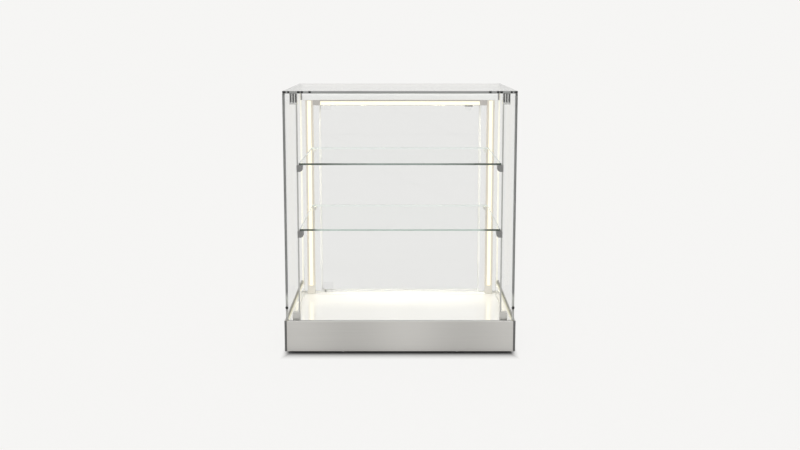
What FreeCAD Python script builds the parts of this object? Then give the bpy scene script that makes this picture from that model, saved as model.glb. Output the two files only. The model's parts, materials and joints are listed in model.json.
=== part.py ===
import FreeCAD, Part
import math
import os
from types import SimpleNamespace

import Sketcher

# An illuminated acrylic display case for a counter: a brushed steel base with a white deck, clear
# panes, two glass shelves clipped to front posts and rear light bars, and a pivoting rear door.
# Millimetres. X runs to the right, Y to the rear, Z up. The origin is on the ground under the
# middle of the case.

SIZES = {
    # The case as a whole
    "case_width": 600,
    "case_depth": 500,
    "case_height": 690,
    "pane": 6,
    # Feet
    "foot_height": 7,
    "foot_diameter": 20,
    "foot_side_inset": 15,
    "foot_end_inset": 25,
    "foot_screw_diameter": 4,
    "foot_screw_head": 8,
    "foot_screw_head_height": 2.5,
    "foot_screw_seat": 4,
    "foot_screw_stub": 1,
    # Base shell
    "base_height": 82,
    "skirt_reach": 4,
    "steel_sheet": 2,
    "fascia_flange": 10,
    "corner_size": 6,
    "corner_round": 2,
    "plate_gap": 0.5,
    "base_screw_diameter": 4,
    "base_screw_head": 7,
    "base_screw_head_height": 2,
    "base_screw_length": 10,
    "screw_clearance": 0.2,
    "side_screw_place": 120,
    "front_screw_place": 150,
    # Rails and deck inside the base
    "rail_width": 12,
    "rail_wall": 2,
    "bearer_width": 20,
    "bearer_height": 12,
    "deck_height": 57,
    "deck_thickness": 5,
    "upstand": 3,
    "upstand_height": 30,
    "tray_gap": 0.5,
    "gasket_height": 8,
    "sill_height": 12,
    "sill_block_width": 20,
    "sill_block_depth": 14,
    "sill_block_place": 150,
    # Screws of the front pane
    "pane_screw_level": 124,
    "pane_screw_head": 8,
    "pane_screw_head_height": 2,
    "pane_screw_diameter": 3.4,
    "pane_screw_bite": 14,
    # Front posts
    "post_thickness": 3,
    "post_depth": 14,
    "post_inset": 27,
    "post_setback": 5,
    "post_fit": 0.1,
    "clamp_width": 20,
    "clamp_height": 29,
    "clamp_wall": 1,
    "clamp_cap": 4,
    "clamp_lip": 5,
    "clamp_groove": 3.4,
    "clamp_groove_pitch": 6.6,
    "post_foot_height": 52,
    # Light bars
    "led_width": 22,
    "led_depth": 20,
    "led_inset": 14,
    "led_gap": 5,
    "led_lip": 5.5,
    "led_cavity": 10,
    "led_slot": 4,
    "led_slot_depth": 5,
    "led_slot_back": 3,
    "diffuser_depth": 3,
    "diffuser_gap": 0.2,
    "board_thickness": 1.2,
    "board_gap": 1,
    "chip_size": 5,
    "chip_height": 1.6,
    "chip_pitch": 25,
    "lower_cap_height": 26,
    "upper_cap_height": 2,
    "bar_height": 15.5,
    "bar_depth": 14,
    "bar_upper_lip": 3.5,
    "bar_lower_lip": 1,
    "bar_end_block": 22,
    # Header and rear panes
    "header_height": 41,
    "header_wall": 3,
    "header_overhang": 7,
    "header_cap": 5,
    "header_spigot": 8,
    "header_cap_fit": 0.1,
    "door_recess": 11,
    "strip_width": 54,
    "door_side_gap": 2,
    # Door fittings
    "pivot_inset": 10,
    "pin_diameter": 6,
    "pin_fit": 0.05,
    "pin_depth": 7.5,
    "bush_diameter": 9,
    "bush_flange": 12,
    "bush_flange_height": 1.2,
    "bush_length": 9,
    "shoe_running_gap": 0.3,
    "shoe_base": 4.5,
    "shoe_cheek": 2.5,
    "shoe_length": 32,
    "shoe_height": 28,
    "shoe_edge": 1,
    "knob_inset": 33,
    "knob_drop": 17,
    "knob_diameter": 20,
    "knob_neck": 10,
    "knob_neck_length": 5,
    "knob_head_length": 9.5,
    "knob_round": 3,
    "strike_width": 24,
    "strike_height": 14,
    "strike_thickness": 1.5,
    "strike_drop": 1,
    "catch_width": 20,
    "catch_height": 17,
    "catch_gap": 0.3,
    "catch_depth": 8,
    # Shelves
    "shelf_thickness": 5,
    "upper_shelf_level": 504,
    "lower_shelf_level": 331.5,
    "shelf_side_gap": 2,
    "shelf_front_setback": 2,
    "shelf_rear_gap": 4,
    "clip_width": 12.2,
    "clip_height": 17,
    "clip_round": 8,
    "clip_lip": 2.5,
    "clip_ear": 1.2,
    "clip_yoke": 3.7,
    "clip_run": 0.3,
    "clip_screw_diameter": 3,
    "clip_screw_head": 8,
    "clip_screw_head_length": 5,
    "clip_screw_drop": 8.5,
    "rear_clip_width": 8,
    "rear_clip_height": 10,
    "rear_clip_reach": 12,
    "rear_clip_round": 4,
    # Electrics
    "driver_length": 150,
    "driver_width": 42,
    "driver_height": 22,
    "driver_offset": 40,
    "lead_diameter": 4,
    "lead_hole": 6,
    "lead_bend": 20,
    "lead_level": 11,
    "lead_tail": 8,
    "inlet_place": 105,
    "inlet_level": 28,
    "inlet_flange": 14,
    "inlet_flange_height": 1.5,
    "inlet_barrel": 11,
    "inlet_depth": 14,
    "inlet_bore": 6.4,
    "inlet_bore_depth": 11,
    "inlet_pin": 2,
    "inlet_pin_length": 9,
    "nut_size": 14,
    "nut_height": 3.5,
    "panel_fit": 0.1,
    "jumper_diameter": 3,
    "jumper_stub": 3,
    "jumper_bend": 8,
    "jumper_offset": 6,
    "switch_place": 70,
    "switch_width": 18.6,
    "switch_height": 15,
    "switch_depth": 14,
    "switch_bezel": 1.2,
    "switch_bezel_height": 1.5,
    "rocker_width": 15.6,
    "rocker_height": 11.2,
    "rocker_radius": 6.2,
    "rocker_front": 1.4,
    "rocker_gap": 0.5,
    "rocker_pivot_depth": 0.6,
    "rocker_tilt": 7,
    "rocker_pin": 2,
}

doc = FreeCAD.newDocument("display_case")
sheet = doc.addObject("Spreadsheet::Sheet", "Sizes")
for row, (alias, number) in enumerate(SIZES.items(), start=1):
    sheet.set(f"A{row}", alias.replace("_", " "))
    sheet.set(f"B{row}", str(number))
    sheet.setAlias(f"B{row}", alias)
doc.recompute()


# Sizes that carry their sheet formula

class Size:
    """A length with its number and the sheet formula that gives it."""

    def __init__(self, number, formula):
        self.number = number
        self.formula = formula

    def __add__(self, other):
        other = as_size(other)
        return Size(self.number + other.number, f"({self.formula} + {other.formula})")

    def __sub__(self, other):
        other = as_size(other)
        return Size(self.number - other.number, f"({self.formula} - {other.formula})")

    def __mul__(self, factor):
        return Size(self.number * factor, f"({self.formula} * {factor})")

    def __truediv__(self, divisor):
        return Size(self.number / divisor, f"({self.formula} / {divisor})")

    def __neg__(self):
        return self * -1


def as_size(value):
    """A plain number as a size of its own."""
    return value if isinstance(value, Size) else Size(value, str(value))


s = SimpleNamespace(**{alias: Size(getattr(sheet, alias), f"Sizes.{alias}") for alias in SIZES})
ZERO = as_size(0)


def bind(item, prop, size):
    """Ties a property of a document object to the sheet."""
    item.setExpression(prop, as_size(size).formula)


# Shapes that the sub-parts are made of

TURNS = {
    "x": FreeCAD.Rotation(FreeCAD.Vector(0, 1, 0), 90),
    "y": FreeCAD.Rotation(FreeCAD.Vector(1, 0, 0), -90),
    "z": FreeCAD.Rotation(),
}
SIDES = (("left", -1), ("right", 1))
FULL_TURN = 360
HEX_SIDES = 6
CLAMP_GROOVES = 3
nodes = []


def side_span(side, near, far):
    """The span from near to far on the right, or its mirror image on the left."""
    return (near, far) if side > 0 else (-far, -near)


def place_at(item, x, y, z):
    """Ties the position of an object to three sizes."""
    for axis, size in zip("xyz", (x, y, z)):
        bind(item, f"Placement.Base.{axis}", size)


def box(name, x, y, z):
    """A block between a low and a high bound along each axis."""
    item = doc.addObject("Part::Box", name)
    for prop, (low, high) in zip(("Length", "Width", "Height"), (x, y, z)):
        bind(item, prop, as_size(high) - low)
    place_at(item, x[0], y[0], z[0])
    return item


def rod(name, axis, centre, span, diameter):
    """A round bar along an axis; centre gives its two other coordinates, span its two ends."""
    item = doc.addObject("Part::Cylinder", name)
    item.Placement = FreeCAD.Placement(FreeCAD.Vector(), TURNS[axis])
    bind(item, "Radius", as_size(diameter) / 2)
    bind(item, "Height", as_size(span[1]) - span[0])
    place = list(centre)
    place.insert("xyz".index(axis), span[0])
    place_at(item, *place)
    return item


def group(name, items):
    """Separate solids kept together as one object."""
    item = doc.addObject("Part::Compound", name)
    item.Links = items
    return item


def cut(name, base, *tools):
    """The base with every tool taken out of it."""
    item = doc.addObject("Part::Cut", name)
    item.Base = base
    item.Tool = tools[0] if len(tools) == 1 else group(name + "_tools", list(tools))
    return item


def fuse(name, *items):
    """Several shapes that touch, as one solid."""
    item = doc.addObject("Part::MultiFuse", name)
    item.Shapes = list(items)
    item.Refine = True
    return item


def node(item, label):
    """Names a finished sub-part and puts it on the list of files."""
    item.Label = label
    nodes.append(item)
    return item


def rounded_ends(before, corner, after, radius):
    """Where a quarter round of that radius leaves the two straight edges of a square corner."""
    ends = []
    for other in (before, after):
        steps = [(o.number > c.number) - (o.number < c.number) for o, c in zip(other, corner)]
        ends.append(tuple(c + radius * step for c, step in zip(corner, steps)))
    return ends


def stations_of(points):
    """The outline's points in order, each with the centre and radius of an arc that leaves it, if any."""
    stations = []
    plain = [tuple(as_size(value) for value in point[:2]) for point in points]
    for index, point in enumerate(points):
        corner = plain[index]
        if len(point) == 2:
            stations.append((corner, None))
            continue
        radius = as_size(point[2])
        after = plain[(index + 1) % len(points)]
        start, end = rounded_ends(plain[index - 1], corner, after, radius)
        centre = tuple(a + b - c for a, b, c in zip(start, end, corner))
        stations.append((start, (centre, radius)))
        stations.append((end, None))
    return stations


def flat(point):
    """A pair of sizes as a point in the sketch."""
    return FreeCAD.Vector(point[0].number, point[1].number, 0)


def outline_edge(start, end, arc):
    """One edge of an outline and which of its ends (1 or 2) is the start."""
    if arc is None:
        return Part.LineSegment(flat(start), flat(end)), 1
    centre, radius = arc
    spokes = [flat(point) - flat(centre) for point in (start, end)]
    angles = [math.atan2(spoke.y, spoke.x) for spoke in spokes]
    circle = Part.Circle(flat(centre), FreeCAD.Vector(0, 0, 1), radius.number)
    if (angles[1] - angles[0]) % (2 * math.pi) < math.pi:
        return Part.ArcOfCircle(circle, angles[0], angles[1]), 1
    return Part.ArcOfCircle(circle, angles[1], angles[0]), 2


def hold_point(sketch, edge, end, point):
    """Fixes an edge's end at its two coordinates."""
    for kind, own_axis, size in (("DistanceX", -2, point[0]), ("DistanceY", -1, point[1])):
        if size is ZERO:
            sketch.addConstraint(Sketcher.Constraint("PointOnObject", edge, end, own_axis))
            continue
        index = sketch.addConstraint(Sketcher.Constraint(kind, -1, 1, edge, end, size.number))
        bind(sketch, f"Constraints[{index}]", size)


def outline(body, plane, points):
    """A closed sketch through the points; a third value rounds that corner with a quarter circle."""
    sketch = body.newObject("Sketcher::SketchObject", body.Name + "_outline")
    support = next(item for item in body.Origin.OriginFeatures if item.Role == plane)
    sketch.AttachmentSupport = (support, [""])
    sketch.MapMode = "FlatFace"
    stations = stations_of(points)
    starts = []
    for index, (point, arc) in enumerate(stations):
        following = stations[(index + 1) % len(stations)][0]
        edge, start = outline_edge(point, following, arc)
        sketch.addGeometry(edge, False)
        starts.append(start)
    for index, (point, arc) in enumerate(stations):
        following = (index + 1) % len(stations)
        join = Sketcher.Constraint("Coincident", index, 3 - starts[index], following, starts[following])
        sketch.addConstraint(join)
        hold_point(sketch, index, starts[index], point)
        if arc is not None:
            radius = sketch.addConstraint(Sketcher.Constraint("Radius", index, arc[1].number))
            bind(sketch, f"Constraints[{radius}]", arc[1])
    return sketch


def padded(name, plane, points, length, place, reverse=False):
    """A body whose outline is carried straight along the normal of its plane."""
    body = doc.addObject("PartDesign::Body", name)
    pad = body.newObject("PartDesign::Pad", name + "_pad")
    pad.Profile = outline(body, plane, points)
    pad.Reversed = reverse
    bind(pad, "Length", length)
    body.Tip = pad
    place_at(body, *place)
    return body


def revolved(name, axis, points, place):
    """A body turned about an axis; the points are radius and distance along that axis."""
    body = doc.addObject("PartDesign::Body", name)
    turn = body.newObject("PartDesign::Revolution", name + "_turn")
    sketch = outline(body, "XZ_Plane", points)
    turn.Profile = sketch
    turn.ReferenceAxis = (sketch, ["V_Axis"])
    turn.Angle = FULL_TURN
    body.Tip = turn
    body.Placement = FreeCAD.Placement(FreeCAD.Vector(), TURNS[axis])
    place_at(body, *place)
    return body


# Places that several sub-parts share

half_width = s.case_width / 2
half_depth = s.case_depth / 2
pane_inside = half_width - s.pane
front_inside = s.pane - half_depth
top_inside = s.case_height - s.pane
skirt_x = half_width + s.skirt_reach
skirt_y = half_depth + s.skirt_reach
sheet_x = skirt_x - s.steel_sheet
sheet_y = skirt_y - s.steel_sheet
corner_x = skirt_x - s.corner_size
corner_y = skirt_y - s.corner_size
plate_top = s.foot_height + s.steel_sheet
flange_top = plate_top + s.steel_sheet
skirt_top = s.foot_height + s.base_height
rail_top = s.deck_height - s.deck_thickness
rail_x = sheet_x - s.rail_width
rail_y = sheet_y - s.rail_width
tray_x = pane_inside - s.tray_gap
tray_front = front_inside + s.tray_gap
door_back = half_depth - s.door_recess
door_front = door_back - s.pane
door_middle = (door_front + door_back) / 2
led_back = door_front - s.led_gap
led_front = led_back - s.led_depth
led_outside = pane_inside - s.led_inset
led_inside = led_outside - s.led_width
led_middle = (led_inside + led_outside) / 2
header_bottom = top_inside - s.header_height
bar_bottom = header_bottom - s.bar_height
bar_half = led_inside - s.bar_end_block
post_outside = pane_inside - s.post_inset
post_inside = post_outside - s.post_thickness
post_front = front_inside + s.post_setback
post_back = post_front + s.post_depth
foot_x = half_width - s.foot_side_inset
foot_y = half_depth - s.foot_end_inset
door_edge = pane_inside - s.strip_width - s.door_side_gap
pivot_x = s.pivot_inset - door_edge
shoe_clear = s.bush_flange_height + s.shoe_running_gap
door_bottom = s.deck_height + shoe_clear + s.shoe_base
door_top = header_bottom - shoe_clear - s.shoe_base
fascia_back = half_depth + s.steel_sheet
driver_front = led_front + s.led_depth / 2 - s.driver_width / 2
driver_left = -s.driver_offset - s.driver_length / 2
driver_right = -s.driver_offset + s.driver_length / 2
lead_y = led_front + s.led_depth / 2
foot_places = [(foot_x * side_x, foot_y * side_y) for side_x in (-1, 1) for side_y in (-1, 1)]
side_screws = [(sheet_x - s.fascia_flange / 2, s.side_screw_place * way) for way in (-1, 1)]
front_screws = [(s.front_screw_place * way, s.fascia_flange / 2 - sheet_y) for way in (-1, 1)]
rear_screws = [(s.sill_block_place * way, half_depth - s.fascia_flange / 2) for way in (-1, 1)]
base_screw_places = front_screws + rear_screws
for way in (-1, 1):
    base_screw_places += [(x * way, y) for x, y in side_screws]


def screw_holes(name, places, span, diameter, clearance):
    """Upright holes at the given places, a clearance wider than their screws all round."""
    return [
        rod(f"{name}_hole_{index}", "z", place, span, diameter + clearance * 2)
        for index, place in enumerate(places)
    ]


# Base: feet, plate, steel fascias and their corner profiles

def make_feet():
    """Rubber feet with a recess for the screw head, and the screws that hold them."""
    shank = s.foot_screw_diameter / 2 + s.screw_clearance
    recess = s.foot_screw_head / 2 + s.screw_clearance
    edge = s.foot_diameter / 2
    profile = [
        (shank, s.foot_screw_seat), (shank, s.foot_height), (edge, s.foot_height),
        (edge, ZERO), (recess, ZERO), (recess, s.foot_screw_seat),
    ]
    feet = []
    screws = []
    for index, (x, y) in enumerate(foot_places):
        feet.append(revolved(f"foot_{index}", "z", profile, (x, y, ZERO)))
        head_span = (s.foot_screw_seat - s.foot_screw_head_height, s.foot_screw_seat)
        head = rod(f"foot_head_{index}", "z", (x, y), head_span, s.foot_screw_head)
        shank_span = (s.foot_screw_seat, plate_top + s.foot_screw_stub)
        stem = rod(f"foot_stem_{index}", "z", (x, y), shank_span, s.foot_screw_diameter)
        screws.append(fuse(f"foot_screw_{index}", head, stem))
    node(group("feet", feet), "rubber_feet")
    node(group("foot_screw_set", screws), "foot_screws")


def make_base_plate():
    """The steel floor of the base, notched at the corners for the corner profiles."""
    edge_x = sheet_x - s.plate_gap
    front = s.plate_gap - sheet_y
    rear = half_depth - s.plate_gap
    span = (s.foot_height, plate_top)
    blank = box("plate_blank", (-edge_x, edge_x), (front, rear), span)
    tools = []
    for name, side in SIDES:
        notch_x = side_span(side, corner_x - s.plate_gap, skirt_x)
        tools.append(box(f"plate_notch_front_{name}", notch_x, (-skirt_y, s.plate_gap - corner_y), span))
        tools.append(box(f"plate_notch_rear_{name}", notch_x, (corner_y - s.plate_gap, skirt_y), span))
    tools += screw_holes("plate_foot", foot_places, span, s.foot_screw_diameter, s.screw_clearance)
    tools += screw_holes("plate_base", base_screw_places, span, s.base_screw_diameter, s.screw_clearance)
    node(cut("plate", blank, *tools), "base_plate")


def make_base_screws():
    """Screws driven from below through the plate and the fascia flanges into the rails and blocks."""
    screws = []
    for index, place in enumerate(base_screw_places):
        head_span = (s.foot_height - s.base_screw_head_height, s.foot_height)
        head = rod(f"base_head_{index}", "z", place, head_span, s.base_screw_head)
        stem_span = (s.foot_height, s.foot_height + s.base_screw_length)
        stem = rod(f"base_stem_{index}", "z", place, stem_span, s.base_screw_diameter)
        screws.append(fuse(f"base_screw_{index}", head, stem))
    node(group("base_screw_set", screws), "base_screws")


def flange_holes(name, places):
    """Holes for the base screws in a fascia's flange."""
    return screw_holes(name, places, (plate_top, flange_top), s.base_screw_diameter, s.screw_clearance)


def make_front_fascia():
    """The brushed steel front of the base, folded inwards along its lower edge."""
    flange_end = sheet_x - s.fascia_flange - s.plate_gap
    wall = box("front_wall", (-corner_x, corner_x), (-skirt_y, -sheet_y), (s.foot_height, skirt_top))
    fold_y = (-sheet_y, s.fascia_flange - sheet_y)
    fold = box("front_fold", (-flange_end, flange_end), fold_y, (plate_top, flange_top))
    blank = fuse("front_sheet", wall, fold)
    node(cut("front_fascia", blank, *flange_holes("front_flange", front_screws)), "fascia_front")


def make_side_fascias():
    """The brushed steel sides of the base, folded inwards along their lower edges."""
    for name, side in SIDES:
        span_y = (-corner_y, corner_y)
        wall_x = side_span(side, sheet_x, skirt_x)
        wall = box(f"{name}_wall", wall_x, span_y, (s.foot_height, skirt_top))
        fold_x = side_span(side, sheet_x - s.fascia_flange, sheet_x)
        fold = box(f"{name}_fold", fold_x, span_y, (plate_top, flange_top))
        blank = fuse(f"{name}_sheet", wall, fold)
        places = [(x * side, y) for x, y in side_screws]
        holes = flange_holes(f"{name}_flange", places)
        node(cut(f"{name}_fascia", blank, *holes), f"fascia_{name}")


def make_rear_fascia():
    """The low rear wall of the base, cut out for the power inlet and the switch."""
    flange_end = sheet_x - s.fascia_flange - s.plate_gap
    span_y = (half_depth, fascia_back)
    wall = box("rear_wall", (-corner_x, corner_x), span_y, (s.foot_height, s.deck_height))
    fold_y = (half_depth - s.fascia_flange, half_depth)
    fold = box("rear_fold", (-flange_end, flange_end), fold_y, (plate_top, flange_top))
    blank = fuse("rear_sheet", wall, fold)
    hole_size = s.inlet_barrel + s.panel_fit * 2
    hole = rod("rear_inlet_hole", "y", (s.inlet_place, s.inlet_level), span_y, hole_size)
    half_x = s.switch_width / 2 + s.panel_fit
    half_z = s.switch_height / 2 + s.panel_fit
    window_x = (s.switch_place - half_x, s.switch_place + half_x)
    window = box("rear_switch_hole", window_x, span_y, (s.inlet_level - half_z, s.inlet_level + half_z))
    holes = flange_holes("rear_flange", rear_screws)
    node(cut("rear_fascia", blank, hole, window, *holes), "fascia_rear")


def make_corner_profiles():
    """Dark angle profiles that close the corners of the base, rounded on the outside."""
    leg = s.skirt_reach
    size = s.corner_size
    profiles = []
    for side_x in (-1, 1):
        for side_y in (-1, 1):
            shape = [
                (ZERO, size - leg), (size - leg, size - leg), (size - leg, ZERO),
                (size, ZERO), (size, size, s.corner_round), (ZERO, size),
            ]
            points = [tuple(value if value is ZERO else value * way
                            for value, way in zip(point, (side_x, side_y))) + point[2:] for point in shape]
            name = f"corner_{len(profiles)}"
            place = (corner_x * side_x, corner_y * side_y, s.foot_height)
            profiles.append(padded(name, "XY_Plane", points, s.base_height, place))
    node(group("corners", profiles), "base_corner_profiles")


# Inside the base: rails, deck, gaskets and sill

def hollow_rail(name, x, y, inner_x, inner_y, places):
    """A box tube between the fascia flanges and the deck, with holes for its base screws."""
    outer = box(f"{name}_outer", x, y, (flange_top, rail_top))
    hollow = box(f"{name}_hollow", inner_x, inner_y, (flange_top + s.rail_wall, rail_top - s.rail_wall))
    floor = (flange_top, flange_top + s.rail_wall)
    holes = screw_holes(name, places, floor, s.base_screw_diameter, s.screw_clearance)
    return cut(f"{name}_tube", outer, hollow, *holes)


def make_rails():
    """Box tubes along three sides of the base that carry the panes and the deck."""
    for name, side in SIDES:
        span_x = side_span(side, rail_x, sheet_x)
        inner_x = side_span(side, rail_x + s.rail_wall, sheet_x - s.rail_wall)
        span_y = (-corner_y, corner_y)
        places = [(x * side, y) for x, y in side_screws]
        node(hollow_rail(f"{name}_rail", span_x, span_y, inner_x, span_y, places), f"setting_rail_{name}")
    span_x = (-rail_x, rail_x)
    span_y = (-sheet_y, -rail_y)
    inner_y = (s.rail_wall - sheet_y, -rail_y - s.rail_wall)
    rail = hollow_rail("front_rail", span_x, span_y, span_x, inner_y, front_screws)
    node(rail, "setting_rail_front")


def make_deck():
    """The white deck tray with its upstands, and the bearer under its middle."""
    half = s.bearer_width / 2
    bearer = box("bearer", (-rail_x, rail_x), (-half, half), (rail_top - s.bearer_height, rail_top))
    node(bearer, "deck_bearer")
    top = s.deck_height + s.upstand_height
    walls = [box("deck_floor", (-tray_x, tray_x), (tray_front, led_front), (rail_top, s.deck_height))]
    lip_y = (tray_front, tray_front + s.upstand)
    walls.append(box("deck_front_lip", (-tray_x, tray_x), lip_y, (s.deck_height, top)))
    for name, side in SIDES:
        lip_x = side_span(side, tray_x - s.upstand, tray_x)
        walls.append(box(f"deck_{name}_lip", lip_x, (tray_front, led_front), (s.deck_height, top)))
    node(fuse("deck", *walls), "deck_tray")


def make_gaskets():
    """Soft strips that fill the slot between the fascias and the panes."""
    span_z = (skirt_top - s.gasket_height, skirt_top)
    strips = [box("front_gasket", (-corner_x, corner_x), (-sheet_y, -half_depth), span_z)]
    for name, side in SIDES:
        span_x = side_span(side, half_width, sheet_x)
        strips.append(box(f"{name}_gasket", span_x, (-corner_y, corner_y), span_z))
    node(group("gaskets", strips), "glazing_gaskets")


def make_sill():
    """The rail under the rear door, on blocks that stand on the rear flange."""
    span_y = (led_front, half_depth)
    sill_bottom = s.deck_height - s.sill_height
    lower = box("sill_web", (-rail_x, rail_x), span_y, (sill_bottom, rail_top))
    upper = box("sill_top", (-tray_x, tray_x), span_y, (rail_top, s.deck_height))
    blank = fuse("sill_blank", lower, upper)
    through = (sill_bottom, s.deck_height)
    tools = [rod("sill_bush_hole", "z", (pivot_x, door_middle), through, s.bush_diameter + s.pin_fit * 2)]
    for name, side in SIDES:
        tools.append(rod(f"sill_lead_hole_{name}", "z", (led_middle * side, lead_y), through, s.lead_hole))
    node(cut("sill", blank, *tools), "sill_rail")
    blocks = []
    screw_top = s.foot_height + s.base_screw_length + s.screw_clearance
    depth = (half_depth - s.sill_block_depth, half_depth)
    for name, side in SIDES:
        half = s.sill_block_width / 2
        span_x = side_span(side, s.sill_block_place - half, s.sill_block_place + half)
        blank = box(f"sill_block_blank_{name}", span_x, depth, (flange_top, sill_bottom))
        place = [(s.sill_block_place * side, half_depth - s.fascia_flange / 2)]
        hole = screw_holes(f"sill_block_{name}", place, (flange_top, screw_top), s.base_screw_diameter,
                           s.screw_clearance)
        blocks.append(cut(f"sill_block_{name}", blank, *hole))
        outer_x = side_span(side, rail_x - s.sill_block_width, rail_x)
        blocks.append(box(f"sill_end_block_{name}", outer_x, depth, (flange_top, sill_bottom)))
    node(group("sill_block_set", blocks), "sill_blocks")


# Clear panes

def make_panes():
    """The fixed panes: top, front with its screw holes, two sides and two strips beside the door."""
    full_x = (-half_width, half_width)
    node(box("top", full_x, (-half_depth, half_depth), (top_inside, s.case_height)), "top_pane")
    upright = (rail_top, top_inside)
    screw_x = half_width - s.pane / 2
    hole_size = s.pane_screw_diameter + s.screw_clearance * 2
    front_y = (-half_depth, front_inside)
    front = box("front_blank", full_x, front_y, upright)
    holes = []
    for name, side in SIDES:
        centre = (screw_x * side, s.pane_screw_level)
        holes.append(rod(f"front_hole_{name}", "y", centre, front_y, hole_size))
        side_x = side_span(side, pane_inside, half_width)
        blank = box(f"{name}_blank", side_x, (front_inside, half_depth), upright)
        bite = (front_inside, front_inside + s.pane_screw_bite + s.screw_clearance)
        hole = rod(f"{name}_hole", "y", centre, bite, hole_size)
        node(cut(f"{name}_side", blank, hole), f"side_pane_{name}")
        strip_x = side_span(side, pane_inside - s.strip_width, pane_inside)
        strip = box(f"{name}_strip", strip_x, (door_front, door_back), (s.deck_height, header_bottom))
        node(strip, f"rear_strip_{name}")
    node(cut("front", front, *holes), "front_pane")


def make_pane_screws():
    """Black button screws that tie the front pane to the edges of the side panes."""
    screws = []
    for name, side in SIDES:
        centre = ((half_width - s.pane / 2) * side, s.pane_screw_level)
        head_span = (-half_depth - s.pane_screw_head_height, -half_depth)
        head = rod(f"pane_head_{name}", "y", centre, head_span, s.pane_screw_head)
        stem_span = (-half_depth, front_inside + s.pane_screw_bite)
        stem = rod(f"pane_stem_{name}", "y", centre, stem_span, s.pane_screw_diameter)
        screws.append(fuse(f"pane_screw_{name}", head, stem))
    node(group("pane_screws", screws), "front_pane_screws")


def make_header():
    """The white hollow rail under the rear of the top pane, with a plug in each end; it carries a light."""
    header_end = pane_inside - s.header_cap
    span_x = (-header_end, header_end)
    span_y = (led_front, door_back + s.header_overhang)
    span_z = (header_bottom, top_inside)
    outer = box("header_outer", span_x, span_y, span_z)
    wall = s.header_wall
    hollow_y = (span_y[0] + wall, span_y[1] - wall)
    hollow_z = (header_bottom + wall, top_inside - wall)
    hollow = box("header_hollow", span_x, hollow_y, hollow_z)
    hole_size = s.bush_diameter + s.pin_fit * 2
    floor = (header_bottom, header_bottom + wall)
    hole = rod("header_bush_hole", "z", (pivot_x, door_middle), floor, hole_size)
    node(cut("header", outer, hollow, hole), "header_rail")
    caps = []
    spigot_y = (hollow_y[0] + s.header_cap_fit, hollow_y[1] - s.header_cap_fit)
    spigot_z = (hollow_z[0] + s.header_cap_fit, hollow_z[1] - s.header_cap_fit)
    for name, side in SIDES:
        plate = box(f"{name}_header_plate", side_span(side, header_end, pane_inside), span_y, span_z)
        spigot_x = side_span(side, header_end - s.header_spigot, header_end)
        spigot = box(f"{name}_header_spigot", spigot_x, spigot_y, spigot_z)
        caps.append(fuse(f"{name}_header_cap", plate, spigot))
    node(group("header_caps", caps), "header_end_caps")


# Front posts with their clamps and feet

def make_posts():
    """Flat bars behind the front pane, each with a grooved clamp under the top and a foot on the deck."""
    clamps = []
    feet = []
    post_top = top_inside - s.clamp_cap
    slot_y = (post_front - s.post_fit, post_back + s.post_fit)
    block_y = (slot_y[0] - s.clamp_wall, slot_y[1] + s.clamp_wall)
    for name, side in SIDES:
        post_x = side_span(side, post_inside, post_outside)
        node(box(f"{name}_post", post_x, (post_front, post_back), (s.deck_height, post_top)),
             f"front_post_{name}")
        near = post_inside - s.post_fit - s.clamp_wall
        block_x = side_span(side, near, near + s.clamp_width)
        slot_x = side_span(side, post_inside - s.post_fit, post_outside + s.post_fit)
        clamp_bottom = top_inside - s.clamp_height
        tools = [box(f"{name}_clamp_slot", slot_x, slot_y, (clamp_bottom, post_top))]
        groove_y = (block_y[0], slot_y[0] + s.post_fit)
        grooves = s.clamp_groove_pitch * (CLAMP_GROOVES - 1) + s.clamp_groove
        first_groove = near + (s.clamp_width - grooves) / 2
        for index in range(CLAMP_GROOVES):
            groove_at = first_groove + s.clamp_groove_pitch * index
            groove_x = side_span(side, groove_at, groove_at + s.clamp_groove)
            groove_z = (clamp_bottom + s.clamp_lip, top_inside - s.clamp_cap)
            tools.append(box(f"{name}_clamp_groove_{index}", groove_x, groove_y, groove_z))
        clamp = box(f"{name}_clamp_blank", block_x, block_y, (clamp_bottom, top_inside))
        merged = fuse(f"{name}_clamp_cuts", *tools)
        clamps.append(cut(f"{name}_clamp", clamp, merged))
        foot_z = (s.deck_height, s.deck_height + s.post_foot_height)
        foot = box(f"{name}_post_foot_blank", block_x, block_y, foot_z)
        feet.append(cut(f"{name}_post_foot", foot, box(f"{name}_foot_slot", slot_x, slot_y, foot_z)))
    node(group("post_clamps", clamps), "post_top_clamps")
    node(group("post_foot_set", feet), "post_feet")


# Light bars

def chip_row(name, middle, length, pitch, make_chip):
    """Light chips at an even pitch along a board, centred on its middle."""
    count = int((length.number - pitch.number) // pitch.number) + 1
    first = middle - pitch * ((count - 1) / 2)
    return [make_chip(f"{name}_chip_{index}", first + pitch * index) for index in range(count)]


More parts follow.
